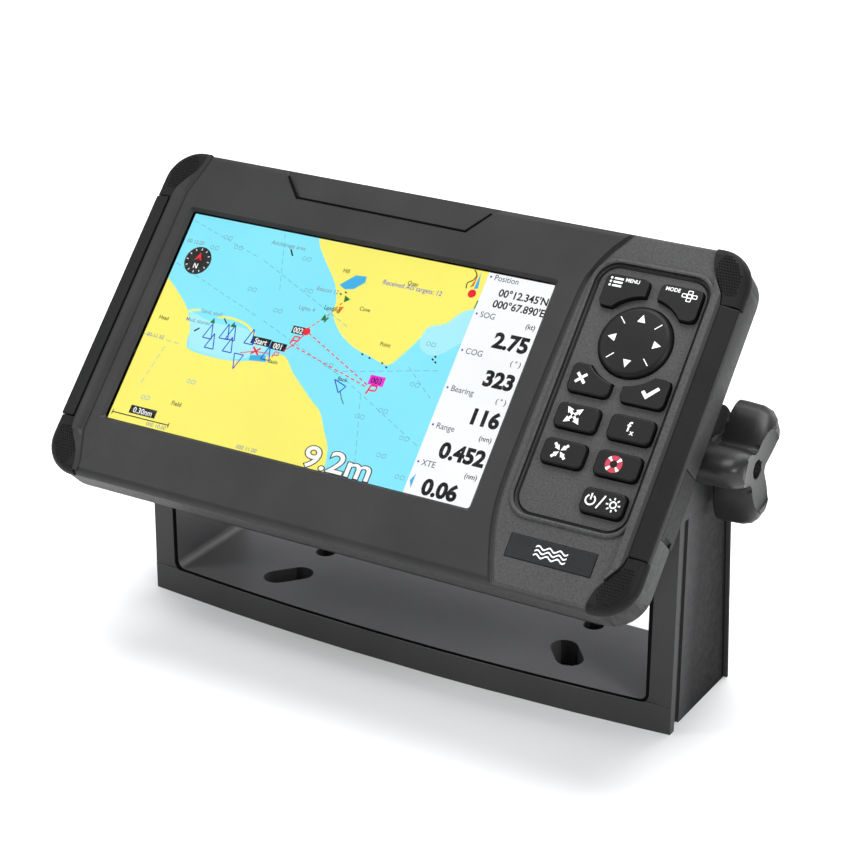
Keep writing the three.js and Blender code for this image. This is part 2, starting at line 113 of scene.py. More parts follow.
class Signal:
    # a node's output, on which sums are written as plain expressions
    def __init__(self, paint, socket):
        self.paint = paint
        self.socket = socket

    def _math(self, operation, first, second):
        return self.paint.node("ShaderNodeMath", {"operation": operation}, {0: first, 1: second})

    def __add__(self, other):
        return self._math("ADD", self, other)

    def __mul__(self, other):
        return self._math("MULTIPLY", self, other)


class Paint:
    # a Principled material; node() adds any node with its settings and its sockets' values or links
    def __init__(self, name):
        self.material = bpy.data.materials.new(name)
        self.material.use_nodes = True
        self.tree = self.material.node_tree
        self.shader = self.tree.nodes["Principled BSDF"]

    def node(self, kind, settings=None, sockets=None, output=0):
        made = self.tree.nodes.new(kind)
        for name, value in (settings or {}).items():
            if name == "stops":
                for index, (place, colour) in enumerate(value):
                    stops = made.color_ramp.elements
                    stop = stops[index] if index < 2 else stops.new(place)
                    stop.position = place
                    stop.color = colour
            else:
                setattr(made, name, value)
        for name, value in (sockets or {}).items():
            self.plug(made.inputs[name], value)
        return Signal(self, made.outputs[output])

    def plug(self, socket, value):
        if isinstance(value, Signal):
            self.tree.links.new(value.socket, socket)
        else:
            socket.default_value = value

    def set(self, **values):
        for name, value in values.items():
            words = "".join(" " + letter if letter.isupper() else letter for letter in name).title()
            socket = {"Ior": "IOR", "Specular": "Specular IOR Level"}.get(words.strip(), words.strip())
            self.plug(self.shader.inputs[socket], value)
        return self.material

    # object coordinates in millimetres, turned upright on the head
    def place(self, upright=True):
        where = self.node("ShaderNodeTexCoord", output=3)
        turn = (restTilt, 0, 0) if upright else (0, 0, 0)
        sockets = {"Vector": where, "Rotation": turn, "Scale": (1000, 1000, 1000)}
        return self.node("ShaderNodeMapping", None, sockets)

    def noise(self, place, scale, detail=3.0, roughness=0.6):
        sockets = {"Vector": place, "Scale": scale, "Detail": detail, "Roughness": roughness}
        return self.node("ShaderNodeTexNoise", None, sockets)

    def blend(self, factor, first, second):
        settings = {"data_type": "RGBA"}
        return self.node("ShaderNodeMix", settings, {0: factor, 6: (*first, 1), 7: (*second, 1)}, output=2)

    def remap(self, value, low, high, toLow=0.0, toHigh=1.0):
        sockets = {0: value, 1: low, 2: high, 3: toLow, 4: toHigh}
        return self.node("ShaderNodeMapRange", {"clamp": True}, sockets)

    def bump(self, height, strength, distance):
        sockets = {"Height": height, "Strength": strength, "Distance": distance}
        return self.node("ShaderNodeBump", None, sockets)


def grey(value):
    return (value, value, value * 1.02)


# Finishes

plastic = {"cloud": 0.035, "scuff": 0.4, "low": 0.3, "high": 0.7, "bumpDepth": 0.00012}


def mouldedPlastic(name, look):
    # grained plastic: fine bump, slow change of tone, and scuffs that show in the gloss
    paint = Paint(name)
    place = paint.place(look.get("upright", True))
    low, high = plastic["low"], plastic["high"]
    grain = paint.noise(place, look["grain"], 4.0, 0.7)
    cloud = paint.noise(place, plastic["cloud"], 2.0)
    scuffs = paint.noise(place, plastic["scuff"], 5.0, 0.75)
    speckle = look.get("speckle", 0.3)
    tone = paint.remap(cloud, low, high) * (1 - speckle) + paint.remap(grain, low, high) * speckle
    colour = paint.blend(tone, look["dark"], look["light"])
    roughness = paint.remap(scuffs * 0.6 + grain * 0.4, 0.35, 0.65, *look["gloss"])
    height = grain + paint.noise(place, look["grain"] * 0.35, 2.0) * 0.5
    normal = paint.bump(height, look["bump"], plastic["bumpDepth"])
    return paint.set(baseColor=colour, roughness=roughness, normal=normal, specular=look.get("specular", 0.4))


looks = {
    "bezel": {"dark": grey(0.015), "light": grey(0.024), "grain": 2.2, "bump": 0.35, "gloss": (0.44, 0.58),
              "specular": 0.2},
    "panel": {"dark": grey(0.020), "light": grey(0.062), "grain": 1.3, "bump": 1.3, "gloss": (0.4, 0.62),
              "specular": 0.25, "speckle": 0.85},
    "housing": {"dark": grey(0.012), "light": grey(0.018), "grain": 2.0, "bump": 0.45, "gloss": (0.42, 0.56),
                "specular": 0.25},
    "bracket": {"dark": grey(0.085), "light": grey(0.105), "grain": 2.6, "bump": 0.14, "gloss": (0.36, 0.46),
                "specular": 0.4, "upright": False},
    # a darker copy of the bracket plastic for the faces that point forwards: painted shade
    "bracketFrontPaintedShade": {"dark": grey(0.027), "light": grey(0.034), "grain": 2.6, "bump": 0.14,
                     "gloss": (0.4, 0.5), "specular": 0.3, "upright": False},
    "knob": {"dark": grey(0.009), "light": grey(0.014), "grain": 2.2, "bump": 0.05, "gloss": (0.34, 0.42),
             "specular": 0.32, "upright": False},
    "rubber": {"dark": grey(0.003), "light": grey(0.007), "grain": 2.4, "bump": 0.55, "gloss": (0.5, 0.66),
               "specular": 0.14},
    "strip": {"dark": grey(0.004), "light": grey(0.008), "grain": 2.4, "bump": 0.4, "gloss": (0.42, 0.56),
              "specular": 0.16},
    "key": {"dark": grey(0.0025), "light": grey(0.005), "grain": 2.4, "bump": 0.35, "gloss": (0.42, 0.56),
            "specular": 0.2},
    "plate": {"dark": (0.006, 0.0065, 0.0075), "light": (0.010, 0.0105, 0.012), "grain": 3.0, "bump": 0.08,
              "gloss": (0.3, 0.4), "specular": 0.3},
    "socket": {"dark": grey(0.006), "light": grey(0.010), "grain": 2.0, "bump": 0.15, "gloss": (0.3, 0.42)},
    "shadow": {"dark": grey(0.001), "light": grey(0.002), "grain": 2.0, "bump": 0.1, "gloss": (0.7, 0.8),
               "specular": 0.05},
    "seal": {"dark": grey(0.005), "light": grey(0.009), "grain": 2.0, "bump": 0.3, "gloss": (0.6, 0.75)},
}
finish = {name: mouldedPlastic(name, look) for name, look in looks.items()}


# the painted shade on the arms' outer sides: where it starts and ends front to back, and how it leans with
# height
armPaintedShade = {"front": -17, "back": 14, "lean": 3.0, "height": 110}
armShadeStops = [(0.0, (0.060, 0.060, 0.061, 1)), (0.45, (0.014, 0.014, 0.015, 1)),
            (1.0, (0.001, 0.001, 0.001, 1))]


def satinWithPaintedShade(name):
    # satin plastic with painted shade: its colour falls off from the front edge to the back, in place of the
    # light on the arms' sides
    paint = Paint(name)
    place = paint.place(False)
    depth = paint.node("ShaderNodeSeparateXYZ", None, {"Vector": place}, output=1)
    height = paint.node("ShaderNodeSeparateXYZ", None, {"Vector": place}, output=2)
    lean = paint.remap(height, 0, armPaintedShade["height"], armPaintedShade["lean"], -armPaintedShade["lean"])
    paintedShade = paint.remap(depth + lean, armPaintedShade["front"], armPaintedShade["back"])
    tone = paint.node("ShaderNodeValToRGB", {"stops": armShadeStops}, {"Fac": paintedShade})
    roughness = paint.remap(paint.noise(place, 0.5, 4.0), 0.35, 0.65, 0.55, 0.65)
    return paint.set(baseColor=tone, roughness=roughness, specular=0.1)


finish["bracketSidePaintedShade"] = satinWithPaintedShade("bracketSidePaintedShade")


def turnedMetal(name, dark, light, gloss):
    paint = Paint(name)
    place = paint.place(False)
    streaks = paint.noise(place, 1.6, 6.0, 0.8)
    colour = paint.blend(paint.remap(streaks, 0.3, 0.7), dark, light)
    roughness = paint.remap(streaks, 0.3, 0.7, gloss, gloss + 0.16)
    normal = paint.bump(streaks, 0.2, 0.00005)
    return paint.set(baseColor=colour, roughness=roughness, metallic=1.0, normal=normal)


def circuitBoard(name):
    paint = Paint(name)
    place = paint.place()
    cells = paint.node("ShaderNodeTexVoronoi", None, {"Vector": place, "Scale": 0.35})
    tracks = paint.remap(cells, 0.42, 0.5)
    colour = paint.blend(tracks, (0.012, 0.075, 0.03), (0.03, 0.16, 0.07))
    return paint.set(baseColor=colour, roughness=0.4, specular=0.5)


def coverGlass(name):
    paint = Paint(name)
    smears = paint.noise(paint.place(), 0.08, 3.0)
    roughness = paint.remap(smears, 0.35, 0.7, 0.01, 0.05)
    return paint.set(baseColor=(1, 1, 1, 1), roughness=roughness, transmissionWeight=1.0, ior=1.12)


finish["steel"] = turnedMetal("steel", (0.45, 0.46, 0.48), (0.62, 0.63, 0.65), 0.22)
finish["brass"] = turnedMetal("brass", (0.48, 0.32, 0.11), (0.66, 0.47, 0.18), 0.2)
finish["board"] = circuitBoard("board")
finish["glass"] = coverGlass("glass")


def litInk(name, colour, glow=1.0):
    # a lit patch of the picture: nearly even, with the backlight a touch uneven
    paint = Paint(name)
    backlight = paint.remap(paint.noise(paint.place(), 0.02, 1.0), 0.3, 0.7)
    light = paint.blend(backlight, [channel * 0.95 for channel in colour], colour)
    black = (0.01, 0.01, 0.01, 1)
    return paint.set(baseColor=black, emissionColor=light, emissionStrength=glow, roughness=0.4, specular=0.1)


def printInk(name, colour):
    paint = Paint(name)
    wear = paint.remap(paint.noise(paint.place(), 3.0, 4.0), 0.35, 0.6)
    ink = paint.blend(wear, [channel * 0.8 for channel in colour], colour)
    return paint.set(baseColor=ink, roughness=0.5, specular=0.3)


def screenColour(code):
    # a display colour in sRGB hex to linear values
    channels = [int(code[index:index + 2], 16) / 255 for index in (0, 2, 4)]
    return [value / 12.92 if value <= 0.04045 else ((value + 0.055) / 1.055) ** 2.4 for value in channels]


inkCodes = {
    "sea": "86ebff", "shoal": "a9f1fb", "land": "fff56e", "pond": "35b2e8", "paper": "fbfdff",
    "black": "0b0b0d", "red": "f0142d", "blue": "1a35c8", "green": "1c7a33", "magenta": "f020d8",
    "grey": "7d94a3", "label": "4d5a66", "orange": "e9722c", "white": "ffffff", "faint": "6fb4c9",
}
inks = {name: litInk("ink_" + name, screenColour(code)) for name, code in inkCodes.items()}
finish["legend"] = printInk("legend", (0.85, 0.86, 0.86))
finish["legendRed"] = printInk("legendRed", (0.42, 0.03, 0.06))
print("finishes ready:", len(bpy.data.materials))


# Modelling kit

def pick(piece):
    if bpy.context.object and bpy.context.object.mode == "EDIT":
        bpy.ops.object.mode_set(mode="OBJECT")
    bpy.ops.object.select_all(action="DESELECT")
    piece.select_set(True)
    bpy.context.view_layer.objects.active = piece
    return piece


def newest(name):
    piece = bpy.context.object
    piece.name = name
    piece.data.name = name
    return piece


def applyModifier(piece, kind, **settings):
    pick(piece)
    modifier = piece.modifiers.new(kind.lower(), kind)
    for name, value in settings.items():
        setattr(modifier, name, value)
    bpy.ops.object.modifier_apply(modifier=modifier.name)
    return piece


def runEdit(piece, *steps):
    # runs mesh operators in edit mode, then leaves it
    pick(piece)
    bpy.ops.object.mode_set(mode="EDIT")
    for operator, settings in steps:
        operator(**settings)
    bpy.ops.object.mode_set(mode="OBJECT")
    return piece


selectAll = (bpy.ops.mesh.select_all, {"action": "SELECT"})


def tidyMesh(piece, distance=0.001):
    return runEdit(piece, selectAll, (bpy.ops.mesh.remove_doubles, {"threshold": distance}),
                   (bpy.ops.mesh.normals_make_consistent, {"inside": False}))


def mergeFlat(piece, degrees=1):
    # flat areas become single faces
    return runEdit(piece, selectAll, (bpy.ops.mesh.dissolve_limited, {"angle_limit": math.radians(degrees)}))


def editFaces(piece, chosen, *steps):
    # selects faces by a test on their middle and normal, then runs operators on them
    runEdit(piece, (bpy.ops.mesh.select_mode, {"type": "FACE"}),
            (bpy.ops.mesh.select_all, {"action": "DESELECT"}))
    for face in piece.data.polygons:
        face.select = bool(chosen(face.center, face.normal))
    return runEdit(piece, *steps)


def facesFront(middle, normal):
    return normal.y < -0.9


def roundFront(piece, offset, segments):
    # rounds the edges of the front face
    rounding = {"offset": offset, "segments": segments, "affect": "EDGES"}
    return editFaces(piece, facesFront, (bpy.ops.mesh.bevel, rounding))


def block(name, left, right, front, back, bottom, top):
    bpy.ops.object.select_all(action="DESELECT")
    middle = ((left + right) / 2, (front + back) / 2, (bottom + top) / 2)
    bpy.ops.mesh.primitive_cube_add(size=1, location=middle)
    piece = newest(name)
    piece.scale = (right - left, back - front, top - bottom)
    bpy.ops.object.transform_apply(location=True, rotation=True, scale=True)
    return piece


def rod(name, radius, front, back, x, z, sides=48):
    bpy.ops.object.select_all(action="DESELECT")
    bpy.ops.mesh.primitive_cylinder_add(
        vertices=sides, radius=radius, depth=back - front, location=(x, (front + back) / 2, z),
        rotation=(math.pi / 2, 0, 0),
    )
    piece = newest(name)
    bpy.ops.object.transform_apply(location=True, rotation=True, scale=True)
    return piece


def curveMesh(name, outlines, closed, **settings):
    curve = bpy.data.curves.new(name, "CURVE")
    for setting, value in settings.items():
        setattr(curve, setting, value)
    for outline in outlines:
        spline = curve.splines.new("POLY")
        spline.points.add(len(outline) - 1)
        for point, place in zip(spline.points, outline):
            point.co = (*place, 1)
        spline.use_cyclic_u = closed
    piece = bpy.data.objects.new(name, curve)
    scene.collection.objects.link(piece)
    pick(piece)
    bpy.ops.object.convert(target="MESH")
    return newest(name)


def standingPlate(name, outline, front, back):
    # a flat outline in X and Z, stood up between two depths
    flat = [(x, z, 0) for x, z in outline]
    piece = curveMesh(name, [flat], True, dimensions="2D", fill_mode="BOTH", extrude=(back - front) / 2)
    piece.data.transform(Matrix.Rotation(math.pi / 2, 4, "X"))
    piece.data.transform(Matrix.Translation((0, (front + back) / 2, 0)))
    return piece


def outlinePlate(name, outline, front, back):
    return mergeFlat(tidyMesh(standingPlate(name, outline, front, back)), 0.5)


def bead(name, path, radius, y=0, closed=False, resolution=3):
    # a round bar along a path in space, or in X and Z at one depth
    places = [place if len(place) == 3 else (place[0], y, place[1]) for place in path]
    piece = curveMesh(name, [places], closed, dimensions="3D", bevel_depth=radius,
                      bevel_resolution=resolution, use_fill_caps=True)
    return tidyMesh(piece)


def combine(piece, operation, *tools):
    for tool in tools:
        applyModifier(piece, "BOOLEAN", operation=operation, solver="MANIFOLD", object=tool)
        bpy.data.objects.remove(tool)
    return piece


def cutAway(piece, *tools):
    return combine(piece, "DIFFERENCE", *tools)


def weld(piece, *tools):
    return combine(piece, "UNION", *tools)


def roundEdges(piece, width, segments=2, angle=32):
    applyModifier(
        piece, "BEVEL", width=width, segments=segments, limit_method="ANGLE", angle_limit=math.radians(angle),
        use_clamp_overlap=True, miter_outer="MITER_ARC",
    )
    return shadeSmooth(piece)


def shadeSmooth(piece, angle=40):
    pick(piece)
    bpy.ops.object.shade_smooth_by_angle(angle=math.radians(angle))
    applyModifier(piece, "WEIGHTED_NORMAL", keep_sharp=True, weight=90)
    return piece


def moveVertices(piece, chosen, offset):
    for vertex in piece.data.vertices:
        if chosen(vertex.co):
            vertex.co += Vector(offset)
    return piece


def copyOfNode(name, node, onHead=True):
    # a CAD node's mesh in millimetres
    piece = bpy.data.objects.new(name, nodes[node].data.copy())
    scene.collection.objects.link(piece)
    piece.data.materials.clear()
    piece.data.transform((headPlace if onHead else millimetres).inverted())
    return mergeFlat(tidyMesh(piece, 0.002))


def join(name, parts):
    pick(parts[0])
    for part in parts[1:]:
        part.select_set(True)
    if len(parts) > 1:
        bpy.ops.object.join()
    return newest(name)


def settle(piece, body, material, replaced=(), onHead=True):
    piece.data.transform(headPlace if onHead else millimetres)
    piece.data.materials.clear()
    piece.data.materials.append(finish[material] if isinstance(material, str) else material)
    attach(piece, body)
    if replaced:
        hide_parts(*replaced)
    return piece


# Outlines

def spun(x, z, radius, degrees):
    # the point at a radius and an angle about a middle
    turn = math.radians(degrees)
    return x + radius * math.cos(turn), z + radius * math.sin(turn)


def arc(x, z, radius, start, end, steps=6):
    return [spun(x, z, radius, start + (end - start) * step / steps) for step in range(steps + 1)]


def roundedRect(left, right, bottom, top, radius, steps=8):
    return (
        arc(right - radius, bottom + radius, radius, -90, 0, steps)
        + arc(right - radius, top - radius, radius, 0, 90, steps)
        + arc(left + radius, top - radius, radius, 90, 180, steps)
        + arc(left + radius, bottom + radius, radius, 180, 270, steps)
    )


def smoothPath(points, steps=6):
    # a Catmull-Rom curve through the points
    ends = [points[0], *points, points[-1]]
    path = []
    for before, start, end, after in zip(ends, ends[1:], ends[2:], ends[3:]):
        for step in range(steps):
            t = step / steps
            path.append(tuple(
                0.5 * (2 * s + (e - b) * t + (2 * b - 5 * s + 4 * e - a) * t ** 2
                       + (3 * s - b - 3 * e + a) * t ** 3)
                for b, s, e, a in zip(before, start, end, after)
            ))
    return [*path, points[-1]]


# Front bezel

bezelLow, bezelHigh = headBox("front_bezel")
bezel = {
    "left": bezelLow.x, "right": bezelHigh.x, "bottom": bezelLow.z, "top": bezelHigh.z,
    "front": bezelLow.y, "seam": bezelHigh.y, "corner": 13.0, "edge": 2.9, "proud": 4,
    "rail": 1.75, "railWidth": 6.2, "railInset": 6.2, "railTrim": 1.1, "railCrest": 6.6,
    "flareLeft": 4.2, "flareRight": 3.0, "panelDrop": 0.35, "panelInset": 10.6, "grooveRadius": 1.15,
    "browGroove": 0.95, "browLine": 0.42, "browBottom": 45, "browTop": 63,
}
window = {"gap": 0.3, "corner": 1.2, "depth": 1.2, "flare": 2.4, "lift": 1.3}
lensPocket = {"gap": 5.8, "corner": 1.5, "depth": 1.5}
plateSeat = {"left": 70.7, "right": 103.3, "bottom": -62.9, "top": -54.2, "depth": 0.75}
screen = {"x": -25.4, "z": -6.6, "width": 154.08, "height": 85.92}
keypad = {"left": 66.1, "right": 109.4, "bottom": -47.2, "top": 48.3, "corner": 8.0, "floor": 1.25,
          "ring": 1.05, "ringGap": 0.6, "channel": 0.9, "channelGap": 0.7, "keyCorner": 2.2, "keyGap": 0.35}
divider = [(73.9, 61.5), (73.2, 58.5), (68.7, 52.3), (64.5, 44), (62.5, 34), (61.5, 0.6), (61.2, -32.7),
           (62.5, -49.4), (66.2, -62.7), (69.9, -72.4), (70.6, -75)]
brow = [(-70.4, 61.5), (-69.9, 59.3), (-61, 49.5), (10.9, 48.9), (20, 59.3), (20.6, 61.5)]
arrowPad = {"x": 88.6, "z": 20.9, "radius": 13.25, "moat": 3.4}
keyRows = {
    "key_menu": (70.5, 86.6, 31.6, 43.6), "key_mode": (91, 106.8, 31.6, 43.6),
    "key_cancel": (70.5, 86.3, -1.2, 9.6), "key_enter": (90.5, 106.8, -1.2, 9.6),
    "key_zoom_out": (70.5, 86.3, -14.6, -5.4), "key_function": (90.5, 106.8, -14.6, -5.4),
    "key_zoom_in": (70.5, 86.3, -27.9, -18.7), "key_distress": (90.5, 106.8, -27.9, -18.7),
    "key_power": (90.5, 106.3, -41.6, -32.6),
}


def grownRect(limits, grow, corner, steps=8):
    left, right, bottom, top = limits
    return roundedRect(left - grow, right + grow, bottom - grow, top + grow, corner, steps)


def limitsOf(area):
    return [area[edge] for edge in ("left", "right", "bottom", "top")]


def sideEdge(side):
    return bezel["right"] if side > 0 else bezel["left"]


def headOutline(grow):
    return grownRect(limitsOf(bezel), grow, bezel["corner"] + grow, 12)


def railLine(side, inset):
    # a line down the rail: straight along the middle, flaring inwards at both ends
    flare = bezel["flareRight"] if side > 0 else bezel["flareLeft"]
    top, bottom = bezel["top"], bezel["bottom"]
    line = [(1, top + 2), (1, top - 2), (0.7, top - 7), (0.15, top - 15), (0, top - 21), (0, 0),
            (0, bottom + 20), (0.15, bottom + 15), (0.7, bottom + 8), (1, bottom + 4), (1, bottom - 2)]
    return smoothPath([(sideEdge(side) - side * (inset + share * flare), z) for share, z in line], 4)


def addRail(side):
    # a soft raised ridge between the flat front and the side strip
    halfWidth = bezel["railWidth"] / 2
    rail = bead("rail", railLine(side, bezel["railInset"] + halfWidth), halfWidth, resolution=6)
    flatten = Matrix.Scale(bezel["rail"] / halfWidth, 4, (0, 1, 0))
    rail.data.transform(Matrix.Translation((0, bezel["front"] + 0.05, 0)) @ flatten)
    limit = outlinePlate("limit", headOutline(-bezel["railTrim"]), bezel["front"] - 3, bezel["seam"] - 0.4)
    return combine(rail, "INTERSECT", limit)


def keyTool(name, limits, front, back, corner, grow=0):
    tool = outlinePlate(name, grownRect(limits, grow, corner + grow, 4), front, back)
    moat = arrowPad["radius"] + arrowPad["moat"] - grow
    return cutAway(tool, rod("moat", moat, front - 1, back + 1, arrowPad["x"], arrowPad["z"], 96))


def keypadOutline(grow, corner):
    return grownRect(limitsOf(keypad), grow, corner)


def screenOutline(grow, corner):
    halfWidth, halfHeight = screen["width"] / 2, screen["height"] / 2
    x, z = screen["x"], screen["z"]
    return grownRect((x - halfWidth, x + halfWidth, z - halfHeight, z + halfHeight), grow, corner, 5)


def cutBrow(piece, front):
    # the inset panel on the top edge, with a fine groove round it
    slope = block("slope", brow[0][0] - 5, brow[-1][0] + 5, front - bezel["proud"], front + 0.4,
                  bezel["browBottom"], bezel["browTop"])
    moveVertices(slope, lambda co: co.y > front and co.z > 60, (0, 1.5, 0))
    cutter = outlinePlate("brow", brow, front - 5, front + 4)
    cutAway(piece, combine(cutter, "INTERSECT", slope))
    return cutAway(piece, bead("browGroove", brow, bezel["browGroove"], front + 0.35))


def cutKeypad(piece, front, seam):
    # a raised ring, the recess in it with a channel round its floor, and a hole for each key
    ring = bead("ring", keypadOutline(keypad["ringGap"], keypad["corner"]), keypad["ring"],
                front + bezel["panelDrop"] + 0.1, closed=True)
    weld(piece, ring)
    floor = front + keypad["floor"]
    cutAway(piece, outlinePlate("recess", keypadOutline(0, keypad["corner"]), front - bezel["proud"], floor))
    gap = keypad["channelGap"]
    channel = keypadOutline(-gap, keypad["corner"] - gap)
    cutAway(piece, bead("channel", channel, keypad["channel"], floor + 0.1, closed=True))
    for limits in keyRows.values():
        cutAway(piece, keyTool("hole", limits, front - 2, seam + 1, keypad["keyCorner"], keypad["keyGap"]))
    radius = arrowPad["radius"] + keypad["keyGap"]
    return cutAway(piece, rod("padHole", radius, front - 2, seam + 1, arrowPad["x"], arrowPad["z"], 96))


def cutWindow(piece, front, seam):
    # a window with a sloped edge, the lens pocket behind it and the name plate's seat
    outline = screenOutline(window["gap"], window["corner"])
    opening = outlinePlate("window", outline, front + window["depth"], seam + 1)
    flare = window["flare"]
    editFaces(
        opening, facesFront,
        (bpy.ops.mesh.extrude_region_move, {"TRANSFORM_OT_translate": {"value": (0, -window["lift"], 0)}}),
        (bpy.ops.transform.resize, {"value": (1 + flare / screen["width"], 1, 1 + flare / screen["height"]),
                                    "center_override": (screen["x"], front, screen["z"])}),
    )
    cutAway(piece, opening)
    pocket = screenOutline(lensPocket["gap"], lensPocket["corner"])
    cutAway(piece, outlinePlate("pocket", pocket, front + lensPocket["depth"], seam + 1))
    left, right, bottom, top = limitsOf(plateSeat)
    return cutAway(piece, block("seat", left, right, front - 2, front + plateSeat["depth"], bottom, top))


def makeBezel():
    front, seam = bezel["front"], bezel["seam"]
    piece = outlinePlate("front_bezel_shell", headOutline(0), front, seam)
    roundFront(piece, bezel["edge"], 5)
    weld(piece, addRail(-1), addRail(1))
    # the panel round the keypad sits a little lower, out to the rail's foot
    outline = [*smoothPath(divider), *reversed(railLine(1, bezel["panelInset"]))]
    cutAway(piece, outlinePlate("panel", outline, front - bezel["proud"], front + bezel["panelDrop"]))
    cutAway(piece, bead("dividerGroove", smoothPath(divider), bezel["grooveRadius"], front + 0.1))
    cutBrow(piece, front)
    cutKeypad(piece, front, seam)
    return cutWindow(piece, front, seam)


def guardOutline(sideX, sideZ, grow=0.0):
    # the corner that a guard covers, with the rail's flowing inner edge
    edgeZ = bezel["top"] if sideZ > 0 else bezel["bottom"]
    inner = smoothPath([(15.2, -2), (15.0, 3), (13.6, 8), (10.2, 13), (7.6, 17), (6.8, guard["length"])], 4)
    path = [(-3, -2), *[(x + grow, z) for x, z in inner[:-1]], (inner[-1][0] + grow, inner[-1][1] + grow),
            (-3, guard["length"] + grow)]
    return [(sideEdge(sideX) - sideX * x, edgeZ - sideZ * z) for x, z in path]


corners = {"top_left": (-1, 1), "top_right": (1, 1), "bottom_left": (-1, -1), "bottom_right": (1, -1)}
guard = {"proud": 0.35, "lift": 0.75, "round": 3.1, "skin": 1.6, "skirt": 2.2, "length": 20.4,
         "seatSkirt": 2.5, "seatGap": 0.25}
grip = {"rows": 17, "columns": 14, "startX": 3.0, "startZ": 2.6, "stepX": 1.0, "stepZ": 1.0625,
        "middleX": 7.4, "middleZ": 9.8, "halfLength": 8.2, "halfWidth": 4.3,
        "foot": 0.5, "tip": 0.16, "height": 0.45}
strip = {"inset": 0.2, "proud": 0.15, "depth": 1.2, "fall": 1.9, "clear": 20.8, "seatGap": 0.05}


def makeGuard(name, sideX, sideZ):
    front, seam = bezel["front"] - guard["lift"], bezel["seam"]
    piece = outlinePlate(name, headOutline(guard["proud"]), front, seam - 0.2)
    roundFront(piece, guard["round"], 6)
    core = outlinePlate("core", headOutline(-guard["skirt"]), front + guard["skin"], seam + 3)
    corner = outlinePlate("corner", guardOutline(sideX, sideZ), bezel["front"] - bezel["proud"], seam + 4)
    combine(piece, "INTERSECT", corner)
    cutAway(piece, core)
    return roundEdges(piece, 0.3, 2)


def guardGrip(name, sideX, sideZ):
    # rows of small blunt pyramids in an oval on the guard's front
    edgeZ = bezel["top"] if sideZ > 0 else bezel["bottom"]
    made = []
    for row in range(grip["rows"]):
        for column in range(grip["columns"]):
            x = grip["startX"] + (column + (row % 2) / 2) * grip["stepX"]
            z = grip["startZ"] + row * grip["stepZ"]
            right, up = x - grip["middleX"], z - grip["middleZ"]
            along, across = up * 0.86 - right * 0.5, up * 0.5 + right * 0.86
            if (along / grip["halfLength"]) ** 2 + (across / grip["halfWidth"]) ** 2 >= 1:
                continue
            place = (sideEdge(sideX) - sideX * x, bezel["front"] - guard["lift"] - 0.13, edgeZ - sideZ * z)
            bpy.ops.mesh.primitive_cone_add(
                vertices=4, radius1=grip["foot"], radius2=grip["tip"], depth=grip["height"],
                rotation=(math.pi / 2, 0, 0), location=place)
            made.append(newest("stud"))
    piece = join(name, made)
    bpy.ops.object.transform_apply(location=True, rotation=True, scale=True)
    return piece


def makeStrip(name, side):
    edge = sideEdge(side)
    inner, outer = sorted((edge - side * (bezel["railCrest"] - strip["inset"]), edge + side * strip["proud"]))
    front = bezel["front"]
    piece = block(name, inner, outer, front - bezel["rail"], front + strip["depth"],
                  bezel["bottom"] + strip["clear"], bezel["top"] - strip["clear"])
    moveVertices(piece, lambda co: co.y < front and side * co.x > abs(edge) - 1, (0, strip["fall"], 0))
    return roundEdges(piece, 0.7, 4)


def seatGuards(piece):
    front, seam = bezel["front"], bezel["seam"]
    for sideX, sideZ in corners.values():
        outline = guardOutline(sideX, sideZ, guard["seatGap"])
        seat = outlinePlate("seat", outline, front - bezel["proud"], seam + 1)
        coreFront = front - guard["lift"] + guard["skin"] + guard["seatGap"]
        core = outlinePlate("core", headOutline(-guard["seatSkirt"]), coreFront, seam + 4)
        cutAway(piece, cutAway(seat, core))
    for side in (-1, 1):
        edge = sideEdge(side)
        inner, outer = sorted((edge - side * (bezel["railCrest"] + strip["seatGap"]), edge + side * 5))
        cutAway(piece, block("stripSeat", inner, outer, front - bezel["proud"], front + 1.5,
                             bezel["bottom"] + 20, bezel["top"] - 20))
    return shadeSmooth(piece, 32)


shellPiece = seatGuards(makeBezel())
dividerPath = smoothPath(divider)


def rightOfDivider(middle):
    nearest = min(dividerPath, key=lambda point: abs(point[1] - middle.z))
    return middle.x > nearest[0] and middle.y < bezel["front"] + 2 and middle.x < bezel["right"] - 8


grained = [face.index for face in shellPiece.data.polygons
           if face.normal.y < -0.5 and rightOfDivider(face.center)]
# a fine near-black bead in the groove, painted shadow, up to where the top edge rounds off
browLine = [(-68.2, 57.4), *brow[2:-2], (18.4, 57.4)]
settle(bead("brow_shadow_line", browLine, bezel["browLine"], bezel["front"] + 0.15), "head", "shadow")
settle(shellPiece, "head", "bezel", ["front_bezel"])
shellPiece.data.materials.append(finish["panel"])
for index in grained:
    shellPiece.data.polygons[index].material_index = 1
for place, (sideX, sideZ) in corners.items():
    node = "corner_guard_" + place
    settle(makeGuard(node + "_rubber", sideX, sideZ), "head", "rubber", [node])
    settle(guardGrip(node + "_grip", sideX, sideZ), "head", "rubber")
for place, side in (("left", -1), ("right", 1)):
    node = "side_strip_" + place
    settle(makeStrip(node + "_rubber", side), "head", "strip", [node])
print("bezel, guards and strips made")


# Keys

keyCap = {"rise": 0.85, "skirt": 4.6, "corner": 2.2, "soft": 0.75, "ink": 0.05,
          "padSink": 0.2, "padRound": 2.0}
keyFront = bezel["front"] - keyCap["rise"]
legendY = keyFront - keyCap["ink"] / 2
padX, padZ = arrowPad["x"], arrowPad["z"]


def makeKey(name, limits):
    piece = keyTool(name + "_cap", limits, keyFront, keyFront + keyCap["skirt"], keyCap["corner"])
    return roundEdges(piece, keyCap["soft"], 4, 40)


